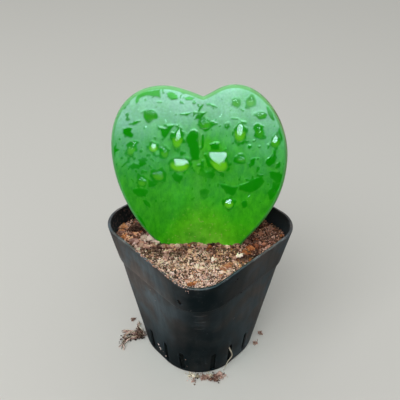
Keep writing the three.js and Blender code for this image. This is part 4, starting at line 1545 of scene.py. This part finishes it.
fine = new_heap()
laid = 0
while laid < FINE_GRAINS:
    x, y = chance.uniform(-HALF_AREA, HALF_AREA), chance.uniform(-HALF_AREA, HALF_AREA)
    if not inside_pot(x, y, 0.5) or under_leaf(x, y):
        continue
    size = mix(0.2, 0.62, chance.random() ** 2.2)
    tone, hue = mix_colour(x, y)
    height = bed_height(x, y) + size * chance.uniform(-0.1, 0.5)
    sides = [size, size * chance.uniform(0.5, 1), size * chance.uniform(0.45, 0.9)]
    lay(fine, chance.choice(fine_kinds), (x, y, height), sides,
        stray(tone, 0.25), max(LEAST_HUE, stray(hue, 0.22)), tip=1.2)
    laid += 1
print("fine grains:", laid)

# %% [markdown]
# ### Lumps
# The coarse part of the mix is bark, coir chips and clods. They lie everywhere, are smaller in the dusty
# front, and a row of them leans against the leaf's foot, where potting pressed the mix together.

# %% Lumps
LUMPS = 360
FOOT_LUMPS = 46
FOOT_ROW = -9.1

coarse = new_heap()
laid = 0
while laid < LUMPS:
    x, y = chance.uniform(-HALF_AREA, HALF_AREA), chance.uniform(-HALF_AREA, HALF_AREA)
    if not inside_pot(x, y, 1.4) or under_leaf(x, y):
        continue
    size = mix(0.7, 1.7, chance.random() ** 2.5) * (1 - 0.35 * smooth(-14, -26, y))
    tone, hue = mix_colour(x, y)
    sides = [size, size * chance.uniform(0.55, 0.95), size * chance.uniform(0.4, 0.8)]
    lay(coarse, chance.choice(lump_kinds), (x, y, bed_height(x, y) + size * 0.3), sides,
        stray(tone, 0.16), max(LEAST_HUE, stray(hue, 0.25, 0.05)))
    laid += 1
for i in range(FOOT_LUMPS):
    x = mix(-21, 19, (i + chance.random()) / FOOT_LUMPS)
    size = chance.uniform(0.6, 1.3)
    y = FOOT_ROW - size * chance.uniform(0.6, 1.3)
    tone, hue = mix_colour(x, y)
    place = (x, y, bed_height(x, y) + size * 0.6)
    lay(coarse, chance.choice(lump_kinds), place, (size, size * 0.8, size * 0.8),
        stray(tone, 0.15), max(LEAST_HUE, stray(hue, 0.25)))
print("lumps:", laid + FOOT_LUMPS)

# %% [markdown]
# ### Grains listed one by one
# A few chips and clods stand out enough to have a place of their own: where it is, its three half
# sizes, its tone and its hue. Each is a main grain with six smaller ones stuck to it, because a clod
# holds together out of many bits.

# %% Known grains
KNOWN_PARTS = 7
KNOWN_GRAINS = [
    ((-37.4, 6.6), (2.6, 1.7, 1.2), 0.84, 1.1), ((-38, 2.4), (2.2, 1.6, 1.1), 0.94, 1.1),
    ((-36.4, -0.4), (1.9, 1.3, 1), 0.8, 1.1), ((-35, -2), (2.3, 1.5, 1), 0.98, 1.0),
    ((-31, 1.2), (1.3, 1.1, 1), 0.9, 1.0), ((-29, 4), (1.4, 1, 0.9), 0.3, 0.9),
    ((-32, -4.2), (2.2, 1.8, 1.5), 0.5, -0.1), ((-26.5, -3.2), (2.5, 2, 1.6), 0.84, -0.4),
    ((-23, -4), (2.8, 2.1, 1.8), 0.88, -0.4), ((-20, -6.5), (1.8, 1.6, 1.2), 0.8, -0.34),
    ((18.4, -15.8), (2, 1.1, 1.6), 1.15, 0.0), ((23.6, -10.6), (2.2, 1.7, 1.3), 0.36, 0.95),
    ((26.4, -7.6), (1.9, 1.5, 1.1), 0.3, 0.85), ((21, -13), (1.7, 1.3, 1), 0.42, 0.9),
    ((12.2, -24), (2.1, 1.6, 1.3), 0.46, 0.8), ((14, -22), (1.6, 1.3, 1), 0.52, 0.75),
    ((9.8, -26.4), (1.5, 1.2, 1), 0.56, 0.7), ((-4, -37), (1.7, 1.1, 0.9), 0.6, 1.0),
    ((-2, -35.6), (1.2, 0.9, 0.8), 0.66, 0.8), ((-12.7, -9.8), (2.1, 1.5, 1.3), 0.5, 0.1),
    ((-10, -11), (1.6, 1.3, 1.1), 0.42, 0.1), ((-6, -13.4), (3.6, 0.7, 0.6), 0.22, 0.35),
    ((-3.4, -10.6), (1.1, 0.9, 1), 1.0, 0.2), ((-4.8, -10.4), (1.2, 1, 0.9), 0.6, 1.0),
    ((4.6, -10.6), (1.5, 1, 1.1), 0.4, 0.95), ((-15.5, -13.5), (1.8, 1.4, 1.1), 0.66, 0.25),
    ((-27.5, -8.5), (2, 1.5, 1.2), 0.62, 0.1), ((-24.5, -9.5), (1.7, 1.3, 1.1), 0.7, 0.25),
]


def near(middle, size, first):
    """The middle of a clod for its first part, and a place near it for the others."""
    off = [chance.gauss(0, size[0] * 0.5), chance.gauss(0, size[1] * 0.5)]
    return middle if first else (middle[0] + off[0], middle[1] + off[1])


for middle, size, tone, hue in KNOWN_GRAINS:
    for i in range(KNOWN_PARTS):
        share = 0.74 if i == 0 else chance.uniform(0.25, 0.5)
        x, y = near(middle, size, i == 0)
        lay(coarse, chance.choice(lump_kinds), (x, y, bed_height(x, y) + size[2] * 0.5),
            [side * share for side in size], stray(tone, 0.09), stray(hue, 0.05), tip=0.5)
print("known grains:", len(KNOWN_GRAINS))

# %% [markdown]
# ### Slivers
# Coir and bark also break into thin slivers, which lie flat on top and catch the light as short lines.
# They are the fine kinds again, stretched long and thin.

# %% Slivers
SLIVERS = 420
SLIVER_SIDES = (0.22, 0.18)

for i in range(SLIVERS):
    x, y = chance.uniform(-36, 36), chance.uniform(-38, 34)
    if not inside_pot(x, y, 3) or under_leaf(x, y - 1) or under_leaf(x, y + 1):
        continue
    long = chance.uniform(0.9, 2.6)
    tone, hue = mix_colour(x, y)
    lay(coarse, chance.choice(fine_kinds), (x, y, bed_height(x, y) + 0.5), (long, *SLIVER_SIDES),
        stray(tone - 0.1, 0.2), max(LEAST_HUE, stray(hue, 0.2, 0.15)), tip=0.3)
print("coarse faces:", len(coarse.faces))

# %% [markdown]
# ## The finish of the mix
# Dry mix is matt and dusty. Every grain carries its own tone and hue, because a real mix is coir, bark,
# grit and dust side by side. The tone picks a place on three ramps, dusty, barky and straw, and the hue
# chooses between them. Fine noise breaks up each grain, so that its faces don't look like cut paper.

# %% Material of the grains
mix_skin, tree, shader = new_material("coir_bark_and_grit_dry", Roughness=0.95, Specular_IOR_Level=0.05)
place = add(tree, "ShaderNodeTexCoord").outputs["Object"]
tone, hue = (add(tree, "ShaderNodeAttribute", attribute_name=name).outputs["Fac"] for name in ("tone", "hue"))
grain = add(tree, "ShaderNodeTexNoise", {
    "Vector": place, "Scale": per_size(0.8), "Detail": 4, "Roughness": 0.7,
}).outputs["Fac"]
broken = add(tree, "ShaderNodeMapRange", {
    "Value": grain, "From Min": 0.3, "From Max": 0.7, "To Min": -0.12, "To Max": 0.12,
}).outputs["Result"]
shade = add(tree, "ShaderNodeMath", {0: tone, 1: broken}, operation="ADD", use_clamp=True).outputs[0]
tints = {}
for name, stops in {
    "dusty": [(0, "#221512"), (0.25, "#66483c"), (0.5, "#b28a7a"), (0.78, "#e2b9a8"), (1, "#ffe2d4")],
    "barky": [(0, "#26110b"), (0.25, "#60331f"), (0.5, "#ac6238"), (0.75, "#dc9660"), (1, "#ffcfa4")],
    "straw": [(0, "#1d1a14"), (0.3, "#6b6150"), (0.6, "#b5a88a"), (1, "#fdf2d6")],
}.items():
    tints[name] = add(tree, "ShaderNodeValToRGB", {"Fac": shade}, stops=stops).outputs["Color"]
colour = tints["dusty"]
for name, start, end in (("barky", 0, 1), ("straw", -0.25, -0.6)):
    share = add(tree, "ShaderNodeMapRange", {
        "Value": hue, "From Min": start, "From Max": end, "To Min": 0, "To Max": 1,
    }).outputs["Result"]
    colour = add(tree, "ShaderNodeMix", {
        "Factor": share, 6: colour, 7: tints[name],
    }, data_type="RGBA").outputs[2]
tree.links.new(colour, shader.inputs["Base Color"])
print("nodes of the grains:", len(tree.nodes))

# %% [markdown]
# ### The bed's finish
# Between the grains one looks down into the bed, which lies in their shade, so its colour is painted
# shade: it is darker than the grains, and nearly black further down, where it only shows through the slots.

# %% Material of the bed, and the mix's pieces
bed_skin, tree, shader = new_material("mix_bed_painted_shade", Roughness=1.0, Specular_IOR_Level=0.05)
place = add(tree, "ShaderNodeTexCoord").outputs["Object"]
grain = add(tree, "ShaderNodeTexNoise", {
    "Vector": place, "Scale": per_size(1.1), "Detail": 5, "Roughness": 0.75,
}).outputs["Fac"]
open_bed = add(tree, "ShaderNodeValToRGB", {"Fac": grain}, stops=[
    (0.32, "#1a120e"), (0.5, "#4c382c"), (0.75, "#92755f"),
]).outputs["Color"]
height = add(tree, "ShaderNodeSeparateXYZ", {"Vector": place}).outputs["Z"]
near_top = add(tree, "ShaderNodeMapRange", {
    "Value": height, "From Min": 60 * MM, "From Max": 65 * MM, "To Min": 0, "To Max": 1,
}).outputs["Result"]
# Painted shade: near black below 60 mm, where the bed only shows through the slots.
colour = add(tree, "ShaderNodeMix", {
    "Factor": near_top, 6: linear("#060504"), 7: open_bed,
}, data_type="RGBA").outputs[2]
tree.links.new(colour, shader.inputs["Base Color"])
finish(bed, "mix_bed", bed_skin, "soil_mix", "soil")
finish(fine, "mix_fine_grains", mix_skin, "soil_mix", sharp=20)
finish(coarse, "mix_lumps", mix_skin, "soil_mix", sharp=20)

# %% [markdown]
# ## What came out of the pot
# Watering washed a tuft of coir fibre out of the left slots and a few crumbs out of the front ones.
# Coir is stiff, curly and of many tones. Hair curves could draw it, but they make no closed mesh, so
# each fibre is a strand. First come the helpers that kink a strand and keep it above the ground.

# %% Curled fibres
CURL_STEPS = 9


def add_strand(shape, points, thick, thin, tone, hue):
    """Adds a strand with its colour. No point of it goes below the ground."""
    start = len(shape.verts)
    shape.from_mesh(strand([(x, y, max(z, thick + 0.05)) for x, y, z in points], thick, thin, sides=1))
    shape.verts.ensure_lookup_table()
    for name, value in (("tone", tone), ("hue", hue)):
        layer = shape.verts.layers.float[name]
        for vertex in shape.verts[start:]:
            vertex[layer] = value


def keep_up(shape):
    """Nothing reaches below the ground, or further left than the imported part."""
    for vertex in shape.verts:
        vertex.co.x = max(vertex.co.x, CAD_BOX[0][0] + 0.1 * MM)
        vertex.co.z = max(vertex.co.z, 0.02 * MM)


def wander(point, far):
    """A point moved off by chance, by up to this far along each axis."""
    return tuple(c + chance.uniform(-far, far) for c in point)


def lit_or_shaded_fibre_tone():
    """A fibre's tone by chance: straw pale as painted light, or nearly black as painted shade."""
    return chance.uniform(0.55, 0.95) if chance.random() < 0.55 else chance.uniform(0.02, 0.36)


def curl(path, wide, off):
    """A kinked fibre along a path, with the path's points moved off by chance."""
    moved = [Vector(wander(point, off)) for point in path]
    points = []
    for step in range(CURL_STEPS + 1):
        along = step / CURL_STEPS * (len(moved) - 1)
        i = min(int(along), len(moved) - 2)
        points.append(wander(moved[i].lerp(moved[i + 1], along - i), wide))
    return points


print("points of a curled fibre:", CURL_STEPS + 1)

# %% [markdown]
# ### The tuft
# Each fibre of the imported part becomes a bundle of ten strands that wander off its path and lie on the
# ground. Two are thick, the first of them is painted pale, as lit, and each further one strays more.

# %% Fibres
STRANDS_EACH = 10
FIBRES = [
    [(-30.6, -5.8, 1.6), (-33.4, -3.4, 1.3), (-36.2, -4.4, 0.9), (-39, -3, 0.8), (-42, -3.8, 0.6)],
    [(-32, -5.4, 1.4), (-35.4, -5.4, 2), (-38.6, -4.8, 1.5), (-41.2, -6.6, 0.9),
     (-39.4, -8.8, 0.7), (-37, -8, 1)],
    [(-32, -6, 1.2), (-35, -7.4, 1.4), (-38.2, -9.2, 0.9), (-41, -11, 0.7), (-42, -13, 0.6)],
    [(-31.6, -6, 1), (-34.6, -6.4, 1), (-37.6, -8, 2), (-40.4, -10.4, 1.2),
     (-40.8, -13.4, 1), (-40, -15.6, 0.6)],
    [(-31.4, -5, 1.4), (-33.4, -2, 1.1), (-34.4, 0.8, 0.7), (-33.6, 3.2, 0.6)],
]
tuft = new_heap()
for path in FIBRES:
    for i in range(STRANDS_EACH):
        thick = 0.3 if i < 2 else chance.uniform(0.13, 0.22)
        points = curl(path[:chance.randint(3, len(path))], 0.75, 0.4 + 0.12 * i)
        # Painted light and shade: each strand is pale as if lit or dark as if shaded.
        tone = 0.85 if i == 0 else lit_or_shaded_fibre_tone()
        add_strand(tuft, points, thick, thick * 0.7, tone, chance.uniform(-0.65, 0.15))
print("strands:", len(FIBRES) * STRANDS_EACH)

# %% [markdown]
# ### The wad at the slot
# Where the fibres leave the slot they are matted together with crumbs of the mix. The mat is a knot of
# short curls with crumbs in it, and some crumbs trail off to the left with the water that washed them
# out. A few tufts lie loose near the foot.

# %% Wad, loose bits, and the tuft's piece
WAD = Vector((-31.4, -5.6, 1.5))
WAD_CURLS = 60
WAD_CRUMBS = 120
WAD_TRAIL = 11
LOOSE_BITS = [((30.4, -10.4), 1.2), ((33.8, -3.6), 0.9), ((-37.4, 5.2), 0.9)]
BIT_GRAINS = 14
BIT_STRANDS = 7

for i in range(WAD_CURLS):
    middle = Vector(wander(WAD, 1.7)) + Vector((-chance.random() * 2.4, 0, 0))
    points = [wander(middle, 1.5) for _ in range(4)]
    add_strand(tuft, points, 0.16, 0.1, chance.uniform(0, 0.5), chance.uniform(-0.55, 0.2))
for i in range(WAD_CRUMBS):
    x, y, _ = wander(WAD, 2.2)
    out = WAD_TRAIL * chance.random() ** 1.5
    place = (x - out, y - chance.random() - 0.25 * out, chance.uniform(0.2, 1.2))
    size = chance.uniform(0.25, 0.7)
    lay(tuft, chance.choice(fine_kinds), place, (size, size * 0.7, size * 0.6),
        chance.uniform(-0.1, 0.25), chance.uniform(-0.4, 0.3), tip=1)
for at, size in LOOSE_BITS:
    for i in range(BIT_GRAINS):
        x, y, _ = wander((*at, 0.5), 1.1)
        lay(tuft, chance.choice(fine_kinds), (x, y, 0.4 * size), (0.5 * size, 0.35 * size, 0.3 * size),
            chance.uniform(0.25, 0.8), chance.uniform(-0.5, 0.4), tip=1)
    for i in range(BIT_STRANDS):
        points = [wander((*at, 0.5), 1.6) for _ in range(4)]
        add_strand(tuft, points, 0.14, 0.1, chance.uniform(0.2, 0.7), chance.uniform(-0.5, 0.4))
keep_up(tuft)
finish(tuft, "coir_tuft", mix_skin, "coir", "drain_fibres", sharp=40)

# %% [markdown]
# ### Crumbs in front
# The crumbs at the front lie close to the foot, as water dropped them. Each is a small clod like the
# known grains above, with fine grains strewn round it and a few short threads between them.

# %% Spilled crumbs
SPILLED_PARTS = 4
SPILLED_GRAINS = 14
SPILLED_THREADS = 26
SPILLED = [
    ((-4.3, -30.6), (1.2, 0.9, 0.7), 0.62, -0.8), ((-3, -31), (2.1, 0.9, 0.9), 0.98, -0.7),
    ((-0.8, -31.4), (1.5, 1.1, 0.8), 0.42, -0.7), ((-2.7, -34), (0.5, 0.9, 0.5), 0.6, -0.2),
    ((2.4, -31.8), (1.6, 1.3, 1), 0.36, -0.3), ((4, -31.6), (1.4, 1.2, 1), 0.54, -0.4),
    ((5.8, -31.2), (1.7, 1.2, 1.3), 0.66, -0.6), ((6.4, -33), (1.6, 1.3, 1), 0.26, -0.1),
    ((8.6, -33.4), (2, 1.7, 1.2), 0.2, 0.0), ((8.4, -31.4), (1.6, 1.4, 1.3), 0.32, -0.2),
    ((10.8, -30), (1.8, 1.5, 1.6), 0.58, -0.3), ((11.4, -31.6), (1.3, 1.1, 0.9), 0.62, -0.35),
]
spilled = new_heap()
for middle, size, tone, hue in SPILLED:
    for i in range(SPILLED_PARTS):
        share = 0.7 if i == 0 else chance.uniform(0.3, 0.5)
        place = near(middle, size, i == 0)
        lay(spilled, chance.choice(lump_kinds), (*place, size[2] * share), [side * share for side in size],
            stray(tone, 0.05), hue, tip=0.4)
    for i in range(SPILLED_GRAINS):
        small = chance.uniform(0.2, 0.55)
        place = (stray(middle[0], 1.1), stray(middle[1], 0.9), chance.uniform(0.2, 1.5))
        lay(spilled, chance.choice(fine_kinds), place, (small, small * 0.8, small * 0.7),
            stray(tone, 0.22), stray(hue, 0.2, 0.1), tip=1)
for i in range(SPILLED_THREADS):
    x, y = chance.uniform(1, 12), chance.uniform(-34.4, -30.4)
    points = [wander((x, y, 1), 1.4) for _ in range(4)]
    add_strand(spilled, points, 0.14, 0.09, chance.uniform(0.1, 0.7), chance.uniform(-0.5, 0.4))
keep_up(spilled)
finish(spilled, "spilled_mix", mix_skin, "soil_mix", "spilled_crumbs", sharp=30)

# %% [markdown]
# ## Marks on the wall
# Handling and watering have left pale specks of grit and splashes on the wall, and fine grit on the rim.
# They could be dots in the plastic's noise, but grains stand proud and catch the light. Each speck is a
# place near the wall, its size and its tone, and it is laid on the wall where its bows and dents are.

# %% Specks
SPECK_PROUD = 0.02
SPECK_HUE = -0.2
SPECK_PARTS = 4
RIM_GRIT = 190
RIM_GRIT_ANGLES = (214, 264)
SPECKS = [
    (-20.4, -19.4, 9.4, 0.4, 1.1), (-19.6, -20.2, 7.4, 0.44, 1.1), (-17.2, -22.4, 5.2, 0.36, 1),
    (-18.6, -21.2, 6.8, 0.18, 0.8), (-6.5, -30.4, 12.5, 0.2, 0.7), (-6.1, -29.5, 6.3, 0.16, 0.7),
    (-5.1, -42.4, 73.8, 0.34, 0.7), (-20.6, -24.4, 49.1, 0.16, 0.6), (-22.8, -22.7, 53.9, 0.14, 0.6),
    (16.4, -27.4, 40, 0.16, 0.6), (18.5, -28.1, 58.2, 0.34, -0.3), (15.4, -32.9, 70.6, 0.4, -0.3),
]


def on_wall(x, y, z, proud):
    """The place on the pot's outside nearest to this one's angle and height."""
    angle = math.atan2(y, x)
    reach = wall_half(z) * square_reach(angle, corner_share(z)) + proud
    place = Vector((math.cos(angle), math.sin(angle), 0)) * reach + Vector((0, 0, z))
    return place + Vector((math.cos(angle), math.sin(angle), 0)) * wall_move(place * MM)


specks = new_heap()
for x, y, z, size, tone in SPECKS:
    for i in range(SPECK_PARTS):
        spot = on_wall(*wander((x, y, z), size * 2.2), SPECK_PROUD)
        share = chance.uniform(0.4, 1)
        sides = (size * share, size * 0.5, size * 0.7 * share)
        lay(specks, chance.choice(fine_kinds), spot, sides, tone, SPECK_HUE, tip=1.5)
for i in range(RIM_GRIT):
    angle = math.radians(chance.uniform(*RIM_GRIT_ANGLES))
    size = mix(0.12, 0.56, chance.random() ** 2.5)
    out = (RIM_HALF - chance.uniform(0, 1.5)) * square_reach(angle, corner_share(POT_HEIGHT))
    place = (out * math.cos(angle), out * math.sin(angle), POT_HEIGHT + 0.3 * size)
    lay(specks, chance.choice(fine_kinds), place, (size, size * 0.8, size * 0.6), chance.uniform(0.35, 1),
        chance.uniform(-0.1, 0.6), tip=1)
finish(specks, "wall_specks", mix_skin, "soil_mix", sharp=30)

# %% [markdown]
# ## The floor
# The floor is plain, matt and pale, so that the pot's shadow and its soft edge can be read. It belongs
# to the stage and not to the part. Its mirror image is switched off, because it would put a pale haze
# into the lower half of every drop.

# %% Floor
FLOOR_HALF = 40

floor_shape = bmesh.new()
bmesh.ops.create_grid(floor_shape, x_segments=1, y_segments=1, size=FLOOR_HALF)
floor_mesh = bpy.data.meshes.new("floor")
floor_shape.to_mesh(floor_mesh)
floor_shape.free()
paper, tree, shader = new_material(
    "matt_paper", Base_Color=linear("#d6d1c5"), Roughness=0.95, Specular_IOR_Level=0.0,
)
floor_mesh.materials.append(paper)
floor = bpy.data.objects.new("floor", floor_mesh)
bpy.context.scene.collection.objects.link(floor)
floor.visible_glossy = False
print("floor, metres across:", 2 * FLOOR_HALF)

# %% [markdown]
# ## Light of a room
# The light is soft and comes from all round, more of it from above. A picture of a room could
# light the scene, but a ramp over height gives the same softness without a file. What the shiny wax and
# the water mirror is another sky: dark, with one bright ragged patch high in front, like a window
# behind leaves. That patch gives the drops their white tops and leaves dark skin between them.

# %% Room light
SKY_STRENGTH = 0.75
WINDOW_ELEVATION = math.radians(66)
WINDOW_EDGE = (50, 41)
WINDOW_STRENGTH = 26.0
DARK_ROOM = 0.05
RAGGED_GRAIN = 13.0
RAGGED_SHARE = 0.8

world = bpy.data.worlds.new("soft_room")
bpy.context.scene.world = world
world.use_nodes = True
tree = world.node_tree
way = add(tree, "ShaderNodeTexCoord").outputs["Generated"]
upward = add(tree, "ShaderNodeSeparateXYZ", {"Vector": way}).outputs["Z"]
dome = add(tree, "ShaderNodeValToRGB", {"Fac": upward}, stops=[
    (0, "#8d8f8a"), (0.1, "#b4b6b4"), (0.6, "#dfe6ee"), (1, "#f4f8ff"),
]).outputs["Color"]
toward = add(tree, "ShaderNodeVectorMath", {
    0: way, 1: (0, -math.cos(WINDOW_ELEVATION), math.sin(WINDOW_ELEVATION)),
}, operation="DOT_PRODUCT").outputs["Value"]
ragged = add(tree, "ShaderNodeTexNoise", {"Vector": way, "Scale": RAGGED_GRAIN, "Detail": 4}).outputs["Fac"]
toward = add(tree, "ShaderNodeMath", {0: toward, 1: RAGGED_SHARE / 2}, operation="SUBTRACT").outputs[0]
toward = add(tree, "ShaderNodeMath", {
    0: ragged, 1: RAGGED_SHARE, 2: toward,
}, operation="MULTIPLY_ADD").outputs[0]
bright = add(tree, "ShaderNodeMapRange", {
    "Value": toward, "From Min": math.cos(math.radians(WINDOW_EDGE[0])),
    "From Max": math.cos(math.radians(WINDOW_EDGE[1])), "To Min": DARK_ROOM, "To Max": WINDOW_STRENGTH,
}, interpolation_type="SMOOTHSTEP").outputs["Result"]
print("nodes of the room so far:", len(tree.nodes))

# %% [markdown]
# ### Which sky a ray meets
# Rays that light a surface meet the soft dome, and rays that a shiny surface mirrors meet the window.
# A ray that passes through a drop counts as glossy too, so it is sent to the dome, or the drops would
# turn white. Rays that go straight from the camera past the object meet a plain grey.

# %% Skies
glow, window, backdrop = (
    add(tree, "ShaderNodeBackground", {"Color": colour, "Strength": strength}).outputs[0]
    for colour, strength in (
        (dome, SKY_STRENGTH), (linear("#d7fbff"), bright), (linear("#c3c2bf"), 1.0),
    )
)
ray = add(tree, "ShaderNodeLightPath").outputs
mirrored = add(tree, "ShaderNodeMath", {
    0: ray["Is Glossy Ray"], 1: ray["Is Transmission Ray"],
}, operation="SUBTRACT", use_clamp=True).outputs[0]
shown = add(tree, "ShaderNodeMixShader", {0: mirrored, 1: glow, 2: window}).outputs[0]
shown = add(tree, "ShaderNodeMixShader", {0: ray["Is Camera Ray"], 1: shown, 2: backdrop}).outputs[0]
tree.links.new(shown, tree.nodes["World Output"].inputs["Surface"])
print("nodes of the room:", len(tree.nodes))

# %% [markdown]
# ### Light from the front left
# A little more light from the front left shapes the round things and gives the pot a soft shadow. An
# area light of nearly a metre does that, where a lamp would draw a hard edge. Its direction is an angle
# round the object, with 0 on the camera's side, and an angle above the ground.

# %% Front light
LIGHT_TURN = math.radians(-38)
LIGHT_RISE = math.radians(52)
LIGHT_DISTANCE = 1.1
LIGHT_SIZE = (0.9, 0.7)
LIGHT_WATTS = 7
LIGHT_TARGET = Vector((0, 0, 0.1))

front = bpy.data.lights.new("front_left_sky", "AREA")
front.shape = "RECTANGLE"
front.size, front.size_y = LIGHT_SIZE
front.energy = LIGHT_WATTS
front.color = linear("#f2f6ff")[:3]
way = Vector((
    math.sin(LIGHT_TURN) * math.cos(LIGHT_RISE),
    -math.cos(LIGHT_TURN) * math.cos(LIGHT_RISE),
    math.sin(LIGHT_RISE),
))
holder = bpy.data.objects.new("front_left_sky", front)
aim = way.to_track_quat("Z", "Y").to_matrix().to_4x4()
holder.matrix_world = Matrix.Translation(LIGHT_TARGET + way * LIGHT_DISTANCE) @ aim
holder.visible_glossy = False
bpy.context.scene.collection.objects.link(holder)
bpy.context.scene.view_settings.view_transform = "Standard"
print("light at:", [round(c, 2) for c in holder.matrix_world.translation])
